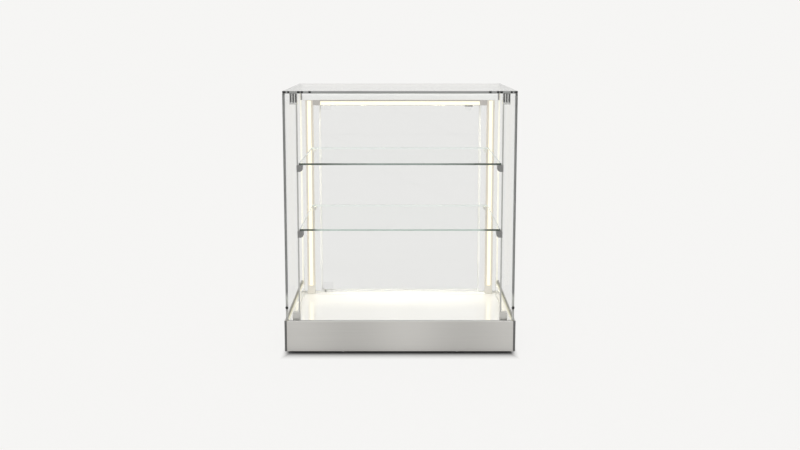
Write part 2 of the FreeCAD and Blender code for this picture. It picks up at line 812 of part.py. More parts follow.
def make_light_posts():
    """The upright light bars in the rear corners: slotted channel, board, opal front and end caps."""
    bottom = s.deck_height + s.lower_cap_height
    top = header_bottom - s.upper_cap_height
    span_z = (bottom, top)
    span_y = (led_front, led_back)
    board_y = (led_front + s.led_cavity - s.board_thickness, led_front + s.led_cavity)
    chip_y = (board_y[0] - s.chip_height, board_y[0])
    boards = []
    chips = []
    caps = []
    for name, side in SIDES:
        outer = box(f"{name}_channel_outer", side_span(side, led_inside, led_outside), span_y, span_z)
        cavity_x = side_span(side, led_inside + s.led_lip, led_outside - s.led_lip)
        cavity = box(f"{name}_cavity", cavity_x, (led_front, led_front + s.led_cavity), span_z)
        slot_x = side_span(side, led_inside, led_inside + s.led_slot_depth)
        slot_y = (led_back - s.led_slot_back - s.led_slot, led_back - s.led_slot_back)
        slot = box(f"{name}_clip_slot", slot_x, slot_y, span_z)
        node(cut(f"{name}_channel", outer, cavity, slot), f"led_channel_{name}")
        front_x = side_span(side, led_inside + s.led_lip + s.diffuser_gap,
                            led_outside - s.led_lip - s.diffuser_gap)
        node(box(f"{name}_opal", front_x, (led_front, led_front + s.diffuser_depth), span_z),
             f"led_diffuser_{name}")
        board_x = side_span(side, led_inside + s.led_lip + s.board_gap,
                            led_outside - s.led_lip - s.board_gap)
        boards.append(box(f"{name}_board", board_x, board_y, span_z))
        centre = led_middle * side
        half = s.chip_size / 2

        def chip(label, level):
            """One light chip on the upright board."""
            return box(label, (centre - half, centre + half), chip_y, (level - half, level + half))

        chips += chip_row(name, (bottom + top) / 2, top - bottom, s.chip_pitch, chip)
        cap_x = side_span(side, led_inside, led_outside)
        lower = box(f"{name}_lower_cap_blank", cap_x, span_y, (s.deck_height, bottom))
        hole = rod(f"{name}_cap_hole", "z", (centre, lead_y), (s.deck_height, bottom), s.lead_hole)
        caps.append(cut(f"{name}_lower_cap", lower, hole))
        caps.append(box(f"{name}_upper_cap", cap_x, span_y, (top, header_bottom)))
    node(group("channel_caps", caps), "channel_end_caps")
    return boards, chips


def make_upper_light():
    """The light bar under the header, between two end blocks that meet the upright bars."""
    span_x = (-bar_half, bar_half)
    span_y = (led_front, led_front + s.bar_depth)
    span_z = (bar_bottom, header_bottom)
    low = bar_bottom + s.bar_lower_lip
    high = header_bottom - s.bar_upper_lip
    outer = box("bar_outer", span_x, span_y, span_z)
    cavity = box("bar_cavity", span_x, (led_front, led_front + s.led_cavity), (low, high))
    node(cut("bar_channel", outer, cavity), "led_channel_upper")
    opal_z = (low + s.diffuser_gap, high - s.diffuser_gap)
    node(box("bar_opal", span_x, (led_front, led_front + s.diffuser_depth), opal_z), "led_diffuser_upper")
    blocks = []
    for name, side in SIDES:
        block_x = side_span(side, bar_half, led_inside)
        blocks.append(box(f"bar_{name}_block", block_x, span_y, span_z))
    node(group("bar_blocks", blocks), "upper_light_end_blocks")
    board_y = (led_front + s.led_cavity - s.board_thickness, led_front + s.led_cavity)
    board = box("bar_board", span_x, board_y, (low + s.board_gap, high - s.board_gap))
    chip_y = (board_y[0] - s.chip_height, board_y[0])
    level = (low + high) / 2
    half = s.chip_size / 2

    def chip(label, place):
        """One light chip on the level board."""
        return box(label, (place - half, place + half), chip_y, (level - half, level + half))

    return [board], chip_row("bar", ZERO, bar_half * 2, s.chip_pitch, chip)


def make_lights():
    """All light bars; their boards and chips are gathered by kind."""
    boards, chips = make_light_posts()
    more_boards, more_chips = make_upper_light()
    node(group("board_set", boards + more_boards), "led_boards")
    node(group("chip_set", chips + more_chips), "led_chips")


# Rear door and its fittings

def make_door():
    """The clear rear door, its two pivot shoes and pins, and the strike for the catch."""
    span_y = (door_front, door_back)
    node(box("door", (-door_edge, door_edge), span_y, (door_bottom, door_top)), "rear_door")
    shoes = []
    pins = []
    near = s.shoe_edge - door_edge
    shoe_x = (near, near + s.shoe_length)
    shoe_y = (door_front - s.shoe_cheek, door_back + s.shoe_cheek)
    low = s.deck_height + shoe_clear
    high = header_bottom - shoe_clear
    centre = (pivot_x, door_middle)
    lower_end = low + s.shoe_height
    upper_end = high - s.shoe_height
    ends = (
        ("lower", (low, door_bottom), (door_bottom, lower_end), (s.deck_height - s.pin_depth, door_bottom)),
        ("upper", (door_top, high), (upper_end, door_top), (door_top, header_bottom + s.pin_depth)),
    )
    for name, base_z, slot_z, pin_z in ends:
        shoe_z = (low, lower_end) if name == "lower" else (upper_end, high)
        blank = box(f"{name}_shoe_blank", shoe_x, shoe_y, shoe_z)
        slot = box(f"{name}_shoe_slot", shoe_x, span_y, slot_z)
        hole = rod(f"{name}_shoe_hole", "z", centre, base_z, s.pin_diameter + s.pin_fit * 2)
        shoes.append(cut(f"{name}_shoe", blank, fuse(f"{name}_shoe_cuts", slot, hole)))
        pins.append(rod(f"{name}_pin", "z", centre, pin_z, s.pin_diameter))
    node(group("shoes", shoes), "door_pivot_shoes")
    node(group("pins", pins), "door_pivot_pins")


def make_bushes():
    """Flanged bushes in the sill and the header, in which the door's pins turn."""
    bore = s.pin_diameter / 2 + s.pin_fit
    barrel = s.bush_diameter / 2
    flange = s.bush_flange / 2
    bushes = []
    for name, level, way in (("sill", s.deck_height, 1), ("header", header_bottom, -1)):
        height = s.bush_flange_height * way
        end = s.bush_length * -way
        profile = [
            (bore, height), (flange, height), (flange, ZERO), (barrel, ZERO), (barrel, end), (bore, end),
        ]
        bushes.append(revolved(f"{name}_bush", "z", profile, (pivot_x, door_middle, level)))
    node(group("bush_set", bushes), "pivot_bushes")


def make_knob():
    """The clear knob on the outside of the door."""
    neck = s.knob_neck / 2
    head = s.knob_diameter / 2
    end = s.knob_neck_length + s.knob_head_length
    profile = [
        (ZERO, ZERO), (neck, ZERO), (neck, s.knob_neck_length),
        (head, s.knob_neck_length), (head, end, s.knob_round), (ZERO, end),
    ]
    place = (door_edge - s.knob_inset, door_back, door_top - s.knob_drop)
    node(revolved("knob", "y", profile, place), "door_knob")


def make_catch():
    """The magnetic catch under the header and the strike plate on the door that meets it."""
    centre = door_edge - s.knob_inset
    strike_x = (centre - s.strike_width / 2, centre + s.strike_width / 2)
    strike_y = (door_front - s.strike_thickness, door_front)
    strike_top = door_top - s.strike_drop
    strike = box("strike", strike_x, strike_y, (strike_top - s.strike_height, strike_top))
    node(strike, "strike_plate")
    face = strike_y[0] - s.catch_gap
    catch_x = (centre - s.catch_width / 2, centre + s.catch_width / 2)
    catch_z = (header_bottom - s.catch_height, header_bottom)
    catch = box("catch", catch_x, (face - s.catch_depth, face), catch_z)
    node(catch, "magnet_catch")


# Shelves and their clips

def front_clip(name, side, top):
    """A clip hooked round a front post, tightened from behind, that carries a front corner of a shelf."""
    inner = post_inside - s.clip_run
    near = inner - s.clip_width
    outer = post_outside + s.clip_ear
    slot_front = post_front - s.clip_run
    slot_back = post_back + s.clip_run
    front = slot_front - s.clip_lip
    back = slot_back + s.clip_yoke
    span_z = (top - s.clip_height, top)
    points = [
        (near * side, -s.clip_height, s.clip_round), (post_outside * side, -s.clip_height),
        (post_outside * side, ZERO), (near * side, ZERO),
    ]
    block = padded(f"{name}_block", "XZ_Plane", points, back - front, (ZERO, back, top))
    ear = box(f"{name}_ear", side_span(side, post_outside, outer), (slot_back, back), span_z)
    slot = box(f"{name}_slot", side_span(side, inner, outer), (slot_front, slot_back), span_z)
    centre = ((post_inside + post_outside) / 2 * side, top - s.clip_screw_drop)
    hole_size = s.clip_screw_diameter + s.screw_clearance * 2
    hole = rod(f"{name}_screw_hole", "y", centre, (slot_back, back), hole_size)
    head = rod(f"{name}_screw_head", "y", centre, (back, back + s.clip_screw_head_length), s.clip_screw_head)
    stem = rod(f"{name}_screw_stem", "y", centre, (slot_back, back), s.clip_screw_diameter)
    clip = cut(name, fuse(f"{name}_blank", block, ear), fuse(f"{name}_cuts", slot, hole))
    return clip, fuse(f"{name}_screw", head, stem)


def rear_clip(name, side, top):
    """A clip whose tongue runs in the slot of a light bar and carries a rear corner of a shelf."""
    far = led_inside - s.clip_run
    near = far - s.rear_clip_width
    front = led_front - s.shelf_rear_gap - s.rear_clip_reach
    points = [
        (near * side, -s.rear_clip_height, s.rear_clip_round), (far * side, -s.rear_clip_height),
        (far * side, ZERO), (near * side, ZERO),
    ]
    block = padded(f"{name}_block", "XZ_Plane", points, led_back - front, (ZERO, led_back, top))
    tongue_x = side_span(side, far, led_inside + s.led_slot_depth - s.clip_run)
    slot_back = led_back - s.led_slot_back
    tongue_y = (slot_back - s.led_slot + s.clip_run, slot_back - s.clip_run)
    tongue = box(f"{name}_tongue", tongue_x, tongue_y, (top - s.rear_clip_height, top))
    return fuse(name, block, tongue)


def make_shelf(name, level):
    """A glass shelf on two front clips and two rear clips."""
    bottom = level - s.shelf_thickness
    edge = post_inside - s.shelf_side_gap
    span_y = (post_front + s.shelf_front_setback, led_front - s.shelf_rear_gap)
    node(box(f"{name}_glass", (-edge, edge), span_y, (bottom, level)), f"{name}_shelf")
    clips = []
    screws = []
    for side_name, side in SIDES:
        clip, screw = front_clip(f"{name}_front_clip_{side_name}", side, bottom)
        clips += [clip, rear_clip(f"{name}_rear_clip_{side_name}", side, bottom)]
        screws.append(screw)
    node(group(f"{name}_clip_set", clips), f"{name}_shelf_clips")
    node(group(f"{name}_screw_set", screws), f"{name}_clip_screws")


# Electrics in the base

def make_driver():
    """The power supply of the lights, on the base plate."""
    span_y = (driver_front, driver_front + s.driver_width)
    node(box("driver", (driver_left, driver_right), span_y, (plate_top, plate_top + s.driver_height)),
         "led_driver")


def swept_lead(corners, radius, diameter):
    """A round lead along straight runs whose square corners are quarter circles of one radius."""
    edges = []
    start = corners[0]
    for corner, after in zip(corners[1:-1], corners[2:]):
        into = (corner - start).normalize()
        out = (after - corner).normalize()
        begin = corner - into * radius
        end = corner + out * radius
        centre = begin + out * radius
        middle = centre + (corner - centre).normalize() * radius
        edges.append(Part.LineSegment(start, begin).toShape())
        edges.append(Part.Arc(begin, middle, end).toShape())
        start = end
    edges.append(Part.LineSegment(start, corners[-1]).toShape())
    heading = corners[1] - corners[0]
    section = Part.Wire(Part.makeCircle(diameter / 2, corners[0], heading))
    return Part.Wire(edges).makePipeShell([section], True, True)


def vector(x, y, z):
    """Three sizes as a point."""
    return FreeCAD.Vector(*(as_size(size).number for size in (x, y, z)))


def make_leads():
    """Leads from the driver to both light posts, and between inlet, switch and driver."""
    level = plate_top + s.lead_level
    top = s.deck_height + s.lead_tail
    shapes = []
    for end, side in ((driver_left, -1), (driver_right, 1)):
        post = led_middle * side
        corners = [vector(end, lead_y, level), vector(post, lead_y, level), vector(post, lead_y, top)]
        shapes.append(swept_lead(corners, s.lead_bend.number, s.lead_diameter.number))
    level = s.inlet_level
    rear = fascia_back - s.switch_depth
    front = rear - s.jumper_stub - s.jumper_bend
    inlet_rear = fascia_back - s.inlet_depth
    near = s.switch_place + s.jumper_offset
    jumper = [
        vector(s.inlet_place, inlet_rear, level), vector(s.inlet_place, front, level),
        vector(near, front, level), vector(near, rear, level),
    ]
    far = s.switch_place - s.jumper_offset
    feed = [vector(far, rear, level), vector(far, front, level), vector(driver_right, front, level)]
    for corners in (jumper, feed):
        shapes.append(swept_lead(corners, s.jumper_bend.number, s.jumper_diameter.number))
    leads = doc.addObject("Part::Feature", "leads")
    leads.Shape = Part.makeCompound(shapes)
    node(leads, "wiring_leads")


def make_inlet():
    """The round power inlet in the rear fascia and the nut behind it."""
    barrel = s.inlet_barrel / 2
    bore = s.inlet_bore / 2
    pin = s.inlet_pin / 2
    mouth = s.inlet_depth + s.inlet_flange_height
    floor = mouth - s.inlet_bore_depth
    profile = [
        (ZERO, ZERO), (barrel, ZERO), (barrel, s.inlet_depth), (s.inlet_flange / 2, s.inlet_depth),
        (s.inlet_flange / 2, mouth), (bore, mouth), (bore, floor), (pin, floor),
        (pin, floor + s.inlet_pin_length), (ZERO, floor + s.inlet_pin_length),
    ]
    place = (s.inlet_place, fascia_back - s.inlet_depth, s.inlet_level)
    node(revolved("inlet", "y", profile, place), "dc_inlet")
    nut = doc.addObject("Part::Prism", "nut_blank")
    nut.Polygon = HEX_SIDES
    nut.Placement = FreeCAD.Placement(FreeCAD.Vector(), TURNS["y"])
    bind(nut, "Circumradius", s.nut_size / 2 / math.cos(math.pi / HEX_SIDES))
    bind(nut, "Height", s.nut_height)
    place_at(nut, s.inlet_place, half_depth - s.nut_height, s.inlet_level)
    span = (half_depth - s.nut_height, half_depth)
    bore_rod = rod("nut_bore", "y", (s.inlet_place, s.inlet_level), span, s.inlet_barrel + s.panel_fit * 2)
    node(cut("nut", nut, bore_rod), "inlet_nut")


def make_switch():
    """The rocker switch in the rear fascia: housing, pivot pin and the rocker at its off position."""
    half_x = s.switch_width / 2
    half_z = s.switch_height / 2
    span_x = (s.switch_place - half_x, s.switch_place + half_x)
    span_z = (s.inlet_level - half_z, s.inlet_level + half_z)
    back = fascia_back + s.switch_bezel_height
    body = box("switch_body", span_x, (fascia_back - s.switch_depth, fascia_back), span_z)
    rim_x = (span_x[0] - s.switch_bezel, span_x[1] + s.switch_bezel)
    rim_z = (span_z[0] - s.switch_bezel, span_z[1] + s.switch_bezel)
    rim = box("switch_rim", rim_x, (fascia_back, back), rim_z)
    pivot_y = fascia_back - s.rocker_pivot_depth
    well_half_x = s.rocker_width / 2 + s.rocker_gap
    well_half_z = s.rocker_height / 2 + s.rocker_gap
    well_x = (s.switch_place - well_half_x, s.switch_place + well_half_x)
    well_z = (s.inlet_level - well_half_z, s.inlet_level + well_half_z)
    well = box("switch_well", well_x, (pivot_y - s.rocker_radius - s.rocker_gap, back), well_z)
    bore_size = s.rocker_pin + s.pin_fit * 2
    bore = rod("switch_bore", "x", (pivot_y, s.inlet_level), span_x, bore_size)
    housing = cut("switch", fuse("switch_blank", body, rim), fuse("switch_cuts", well, bore))
    node(housing, "switch_housing")
    node(rod("rocker_pin", "x", (pivot_y, s.inlet_level), span_x, s.rocker_pin), "switch_pin")
    half = s.rocker_width / 2
    drum = rod("rocker_drum", "x", (ZERO, ZERO), (-half, half), s.rocker_radius * 2)
    face_z = (-s.rocker_height / 2, s.rocker_height / 2)
    block = box("rocker_block", (-half, half), (-s.rocker_radius, s.rocker_front), face_z)
    blank = doc.addObject("Part::MultiCommon", "rocker_blank")
    blank.Shapes = [drum, block]
    rocker_bore = rod("rocker_bore", "x", (ZERO, ZERO), (-half, half), bore_size)
    rocker = cut("rocker", blank, rocker_bore)
    tilt = FreeCAD.Rotation(FreeCAD.Vector(1, 0, 0), s.rocker_tilt.number)
    rocker.Placement = FreeCAD.Placement(FreeCAD.Vector(), tilt)
    place_at(rocker, s.switch_place, pivot_y, s.inlet_level)
    node(rocker, "switch_rocker")


def check_document():
    """Stops if any object failed or any sub-part has no sound solid."""
    for item in doc.Objects:
        if "Invalid" in item.State or "Error" in item.State:
            raise RuntimeError(f"{item.Label} failed: {item.State}")
    for item in nodes:
        if item.Shape.isNull() or not item.Shape.isValid() or not item.Shape.Solids:
            raise RuntimeError(f"{item.Label} has no sound solid")


def write_parts():
    """One STEP file for each sub-part, named after its label."""
    os.makedirs("parts", exist_ok=True)
    for item in nodes:
        item.Shape.exportStep(os.path.join("parts", f"{item.Label}.step"))


make_feet()
make_base_plate()
make_base_screws()
make_front_fascia()
make_side_fascias()
make_rear_fascia()
make_corner_profiles()
make_rails()
make_deck()
make_gaskets()
make_sill()
make_panes()
make_pane_screws()
make_header()
make_posts()
make_lights()
make_door()
make_bushes()
make_knob()
make_catch()
make_shelf("upper", s.upper_shelf_level)
make_shelf("lower", s.lower_shelf_level)
make_driver()
make_leads()
make_inlet()
make_switch()
doc.recompute()
check_document()
write_parts()
print(f"{len(nodes)} sub-parts written")
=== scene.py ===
import json
import math

import bpy
import numpy as np
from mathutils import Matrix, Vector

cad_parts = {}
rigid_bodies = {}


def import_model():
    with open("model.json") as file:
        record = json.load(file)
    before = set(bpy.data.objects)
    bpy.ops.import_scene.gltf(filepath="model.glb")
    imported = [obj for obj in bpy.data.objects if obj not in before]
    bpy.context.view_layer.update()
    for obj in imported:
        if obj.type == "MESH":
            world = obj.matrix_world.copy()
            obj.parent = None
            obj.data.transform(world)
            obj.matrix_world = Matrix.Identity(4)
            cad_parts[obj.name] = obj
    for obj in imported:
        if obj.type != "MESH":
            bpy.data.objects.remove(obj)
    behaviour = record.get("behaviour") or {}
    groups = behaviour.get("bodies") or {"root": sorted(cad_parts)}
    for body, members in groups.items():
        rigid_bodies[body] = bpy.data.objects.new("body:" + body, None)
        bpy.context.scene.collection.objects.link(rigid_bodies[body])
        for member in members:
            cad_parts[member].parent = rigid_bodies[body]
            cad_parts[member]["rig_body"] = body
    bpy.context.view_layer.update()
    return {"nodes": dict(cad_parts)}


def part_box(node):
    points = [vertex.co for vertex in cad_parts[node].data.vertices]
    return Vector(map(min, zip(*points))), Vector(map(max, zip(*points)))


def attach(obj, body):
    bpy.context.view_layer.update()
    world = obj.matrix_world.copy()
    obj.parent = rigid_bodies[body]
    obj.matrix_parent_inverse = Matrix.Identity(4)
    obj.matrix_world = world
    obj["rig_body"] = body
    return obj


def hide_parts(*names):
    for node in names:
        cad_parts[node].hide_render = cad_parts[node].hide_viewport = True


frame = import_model()

bl_info = {
    "name": "Illuminated display case",
    "version": (1, 0, 0),
    "blender": (4, 5, 0),
    "location": "View3D > Sidebar > Display case",
    "description": "Finishes and fine pieces of a clear counter display case with light bars",
    "category": "Object",
}

MM = 0.001
X, Y, Z = range(3)
ARC_STEPS = 5
EDGE_STEPS = 3
TURN_STEPS = 48
finishes = {}


# Values that a user would change

def length(name, description, millimetres):
    """A length property, given in millimetres and kept in metres."""
    return bpy.props.FloatProperty(
        name=name, description=description, default=millimetres * MM, min=0.0,
        precision=5, unit="LENGTH", subtype="DISTANCE",
    )


def share(name, description, default):
    """A property between nought and one."""
    return bpy.props.FloatProperty(
        name=name, description=description, default=default, min=0.0, max=1.0, subtype="FACTOR",
    )


def angle(name, description, degrees):
    """An angle property, given in degrees."""
    return bpy.props.FloatProperty(
        name=name, description=description, default=math.radians(degrees), unit="ROTATION", subtype="ANGLE",
    )


def amount(name, description, default, unit="NONE"):
    """A property of nought or more."""
    return bpy.props.FloatProperty(name=name, description=description, default=default, min=0.0, unit=unit)


def colour(name, description, *default):
    """A colour property in linear red, green and blue."""
    return bpy.props.FloatVectorProperty(
        name=name, description=description, default=default, size=3, min=0.0, max=1.0, subtype="COLOR",
    )


class DisplayCaseSizes(bpy.types.PropertyGroup):
    """Small sizes of the pieces; the large ones come from the frame."""
    pane_corner: length("Pane corner", "Radius of the corners of a pane", 1.5)
    pane_arris: length("Pane arris", "Rounding of the polished edges of a pane", 0.6)
    top_arris: length("Top arris", "Rounding of the polished edges of the top pane", 1.2)
    door_arris: length("Door arris", "Rounding of the edges of the door and its strips", 2.0)
    shelf_corner: length("Shelf corner", "Radius of the corners of a glass shelf", 4.0)
    shelf_arris: length("Shelf arris", "Rounding of the ground edges of a glass shelf", 0.7)
    sheet: length("Steel sheet", "Thickness of the steel of the base", 2.0)
    sheet_edge: length("Sheet edge", "Rounding of the cut edges of the steel", 0.7)
    corner_round: length("Corner round", "Outer radius of the corner profiles", 2.0)
    corner_notch: length("Corner notch", "Inner notch of the corner profiles", 2.0)
    fine_edge: length("Fine edge", "Rounding of small fittings", 0.4)
    soft_edge: length("Soft edge", "Rounding of moulded and coated pieces", 0.8)
    header_lip: length("Header lip", "Height of the upright face at the foot of the header", 14.0)
    header_slope: length("Header slope", "How far the header leans back above it", 9.0)
    deck_sheet: length("Deck sheet", "Thickness of the deck's floor", 5.0)
    deck_lip: length("Deck lip", "Thickness of the deck's upstands", 3.0)
    deck_cove: length("Deck cove", "Inner radius where the deck turns up", 2.0)
    channel_slot: length("Channel slot", "Width of the clip slot in a light channel", 4.0)
    channel_slot_depth: length("Slot depth", "Depth of the clip slot in a light channel", 5.0)
    channel_slot_back: length("Slot back", "Wall behind the clip slot", 3.0)
    opal_crown: length("Opal crown", "Rounding of the front corners of the opal strips", 1.4)
    clamp_lip: length("Clamp lip", "Plain band under the flutes of the top clamps", 5.0)
    flute_width: length("Flute width", "Width of a flute of the top clamps", 3.4)
    flute_depth: length("Flute depth", "Depth of a flute of the top clamps", 1.1)
    flute_pitch: length("Flute pitch", "Distance from flute to flute", 6.6)
    clip_block: length("Clip block", "Width of the block of a front clip beside its post", 12.2)
    clip_lip: length("Clip lip", "Thickness of the lip of a front clip before its post", 2.5)
    clip_yoke: length("Clip yoke", "Depth of the yoke of a front clip behind its post", 3.7)
    clip_round: length("Clip round", "Large lower radius of a front clip", 8.0)
    rear_clip_width: length("Rear clip width", "Width of a rear clip", 8.0)
    rear_clip_height: length("Rear clip height", "Height of a rear clip", 10.0)
    rear_clip_length: length("Rear clip length", "Length of a rear clip", 36.0)
    rear_clip_round: length("Rear clip round", "Lower radius of a rear clip", 4.0)
    rear_tongue: length("Rear tongue", "Thickness of the tongue in the channel slot", 3.4)
    thumb_head: length("Thumb head", "Length of the knurled head of a clip screw", 5.0)
    thumb_knurl: length("Thumb knurl", "Height of the knurls", 0.2)
    thumb_stem: length("Thumb stem", "Radius of the stem of a clip screw", 1.5)


class DisplayCaseFinish(bpy.types.PropertyGroup):
    """Colours and light of the finishes."""
    pane_tint: colour("Pane tint", "What one face of a pane lets through", 0.970, 0.971, 0.970)
    pane_edge: colour("Pane edge", "Polished edges at the front of the case", 0.230, 0.235, 0.230)
    # Painted light: pane edges paler towards the light bars and beside the bright deck
    pane_edge_rear: colour("Pane edge rear", "Edges that the light bars shine into", 0.93, 0.92, 0.86)
    pane_edge_low: colour("Pane edge low", "Pane edges beside the bright deck", 0.50, 0.50, 0.48)
    setting_tape: colour("Setting tape", "Tape on the foot of the panes, inside the base", 0.60, 0.60, 0.58)
    # Painted light: glow of the tape at the foot of the side panes and of their rear edges
    foot_glow: share("Foot glow", "Light that the tape on the foot of the side panes sends out", 0.28)
    rear_glow: share("Rear glow", "Light in the rear edges of the side panes", 0.32)
    # Painted light: pale, glowing edges of the door and the strips beside it
    door_glow: share("Door glow", "Light in the edges of the door and the strips beside it", 0.11)
    door_edge: colour("Door edge", "Edges of the door and the strips beside it", 0.97, 0.97, 0.95)
    glass_tint: colour("Glass tint", "What one face of a shelf lets through", 0.992, 0.995, 0.993)
    # The two shelves are one glass; their edge tones differ by painted light and shade
    upper_edge: colour("Upper glass edge", "Middle of the upper shelf's front edge", 0.25, 0.30, 0.275)
    lower_edge: colour("Lower glass edge", "Middle of the lower shelf's front edge", 0.48, 0.56, 0.52)
    glass_edge_rear_painted_light: colour("Glass edge rear", "Edge of a shelf between the light bars", 0.86, 0.90, 0.88)
    glass_edge_end_painted_shade: colour("Glass edge end", "Ends of a shelf's edges", 0.045, 0.065, 0.045)
    steel: colour("Brushed steel", "Base fascias", 0.572, 0.562, 0.540)
    white_gloss: colour("White gloss", "Deck", 0.965, 0.950, 0.920)
    white_coat: colour("White coat", "Header", 0.92, 0.92, 0.91)
    # Warm tint of the light channels is painted light from the opal strips
    lamp_warmed_aluminium: colour("Warm aluminium", "Light channels", 0.80, 0.74, 0.64)
    satin_steel: colour("Satin steel", "Posts", 0.46, 0.46, 0.445)
    clip_steel: colour("Clip steel", "Front clips of the shelves", 0.24, 0.24, 0.235)
    # Pale tone of the rear clips is painted light from the light bars beside them
    rear_clip_painted_light: colour("Clip bright", "Pale coat of the rear clips", 0.86, 0.85, 0.80)
    lamp: colour("Lamp", "Light of the opal strips", 1.0, 0.95, 0.73)
    lamp_strength: amount("Lamp strength", "Brightness of the opal strips", 1.25)
    opal: colour("Opal", "The opal strips by themselves", 0.08, 0.08, 0.07)
    # Painted images of the dark pieces under the top, seen through its front edge
    painted_show_through_tone: colour("Edge mark", "Dark marks in the front edge of the top", 0.012, 0.012, 0.012)
    foot_aluminium: colour("Foot aluminium", "Blocks at the feet of the posts", 0.60, 0.59, 0.56)


class DisplayCaseStage(bpy.types.PropertyGroup):
    """Camera, floor and light around the case."""
    camera_distance: length("Camera distance", "How far the camera stands in front of the middle", 3111.0)
    camera_height: length("Camera height", "How high the camera stands", 817.0)
    camera_pitch: angle("Camera pitch", "How far the camera looks down", 9.378)
    focal_length: amount("Focal length", "Focal length of the camera in millimetres", 50.30)
    floor_size: length("Floor size", "Side of the square floor", 60000.0)
    backdrop: colour("Backdrop", "Pale floor and background", 0.922, 0.917, 0.905)
    sky: share("Sky", "Brightness of the even light from all round", 0.92)
    floor_glow: share("Floor glow", "How much of the floor's brightness doesn't depend on the light", 0.93)
    # Reach of the painted shadow in front of the base
    shadow_reach: length("Shadow reach", "How far the shadow of the base reaches to the front", 54.0)
    sky_tint: colour("Sky tint", "Colour of the even light from all round", 1.0, 0.998, 0.99)
    key_strength: amount("Key light", "Strength of the soft light from the front", 1.0)
    key_height: angle("Key height", "How high the soft light stands", 40)
    key_width: angle("Key width", "How wide the soft light is", 40)
    upright_power: amount("Upright bars", "Light that each upright bar sends into the case", 0.04, "POWER")
    level_power: amount("Level bar", "Light of the level bar on the rear of the deck", 0.33, "POWER")
    level_fill: amount("Level fill", "Light of the level bar that spreads into the case", 0.45, "POWER")
    bar_spread: angle("Bar spread", "How wide the light spreads into the case", 110)
    level_spread: angle("Level spread", "How wide the light on the rear of the deck spreads", 38)
    bar_gap: length("Bar gap", "How far before an opal strip its light starts", 2.0)


# Surfaces as arrays: points, outward normals and faces

def rounded_outline(corners, radii):
    """Points and outward normals of a closed flat outline whose corners are arcs.

    At each corner the normal turns evenly from that of the edge before to that of the edge after; a point
    is the arc's centre plus the radius times the normal, and at a hollow corner minus it."""
    corners = np.asarray(corners, float)
    radii = np.broadcast_to(np.asarray(radii, float), len(corners))
    following = np.roll(corners, -1, axis=0)
    if np.sum(corners[:, 0] * following[:, 1] - following[:, 0] * corners[:, 1]) < 0:
        corners = corners[::-1]
        radii = radii[::-1]
    ahead = np.roll(corners, -1, axis=0) - corners
    ahead /= np.linalg.norm(ahead, axis=1, keepdims=True)
    before = np.roll(ahead, 1, axis=0)
    cross = before[:, 0] * ahead[:, 1] - before[:, 1] * ahead[:, 0]
    turn = np.arctan2(cross, np.sum(before * ahead, axis=1))
    normal = np.stack([before[:, 1], -before[:, 0]], axis=1)
    bulge = np.sign(turn) * radii
    start = corners - before * (radii * np.tan(np.abs(turn) / 2))[:, None]
    centre = start - normal * bulge[:, None]
    swing = turn[:, None] * np.linspace(0, 1, ARC_STEPS + 1)
    cosine = np.cos(swing)
    sine = np.sin(swing)
    normals = np.stack([
        cosine * normal[:, :1] - sine * normal[:, 1:],
        sine * normal[:, :1] + cosine * normal[:, 1:],
    ], axis=2)
    points = centre[:, None] + normals * bulge[:, None, None]
    return points.reshape(-1, 2), normals.reshape(-1, 2)


def skin(points, normals, capped):
    """A grid of points as a closed skin.

    Quads join each row to the next and wrap round every row. The first and last rows get a flat cap, or
    are joined to each other where the rows go round as well."""
    rows, columns = points.shape[:2]
    index = np.arange(rows * columns).reshape(rows, columns)
    below = index[:-1] if capped else index
    above = index[1:] if capped else np.roll(index, -1, axis=0)
    quads = np.stack([below, np.roll(below, -1, axis=1), np.roll(above, -1, axis=1), above], axis=2)
    faces = quads.reshape(-1, 4).tolist()
    if capped:
        faces += [index[0][::-1].tolist(), index[-1].tolist()]
    return points.reshape(-1, 3), normals.reshape(-1, 3), faces


def prism(axis, corners, radii, span, edge):
    """An outline carried along an axis between two ends, with rounded end edges.

    Corners are pairs along the two next axes in the order X, Y, Z, X. Near an end the outline is drawn in
    by the edge times one minus the cosine of a tilt, and its normal tilts until it lies along the axis."""
    flat, flat_normal = rounded_outline(corners, radii)
    rise = np.linspace(-math.pi / 2, 0, EDGE_STEPS + 1)
    tilt = np.concatenate([rise, -rise[::-1]])[:, None, None]
    start = np.repeat([span[0] + edge, span[1] - edge], EDGE_STEPS + 1)[:, None, None]
    across = flat - edge * (1 - np.cos(tilt)) * flat_normal
    along = np.broadcast_to(start + edge * np.sin(tilt), across.shape[:2] + (1,))
    lean = np.cos(tilt) * flat_normal
    upward = np.broadcast_to(np.sin(tilt), across.shape[:2] + (1,))
    points = np.roll(np.concatenate([along, across], axis=2), axis, axis=2)
    normals = np.roll(np.concatenate([upward, lean], axis=2), axis, axis=2)
    return skin(points, normals, True)


def slab(low, high, axis, corner, edge):
    """A box carried along an axis: its outline has round corners and both end faces have rounded edges."""
    first = (axis + 1) % 3
    second = (axis + 2) % 3
    corners = [
        (low[first], low[second]), (high[first], low[second]),
        (high[first], high[second]), (low[first], high[second]),
    ]
    return prism(axis, corners, corner, (low[axis], high[axis]), edge)


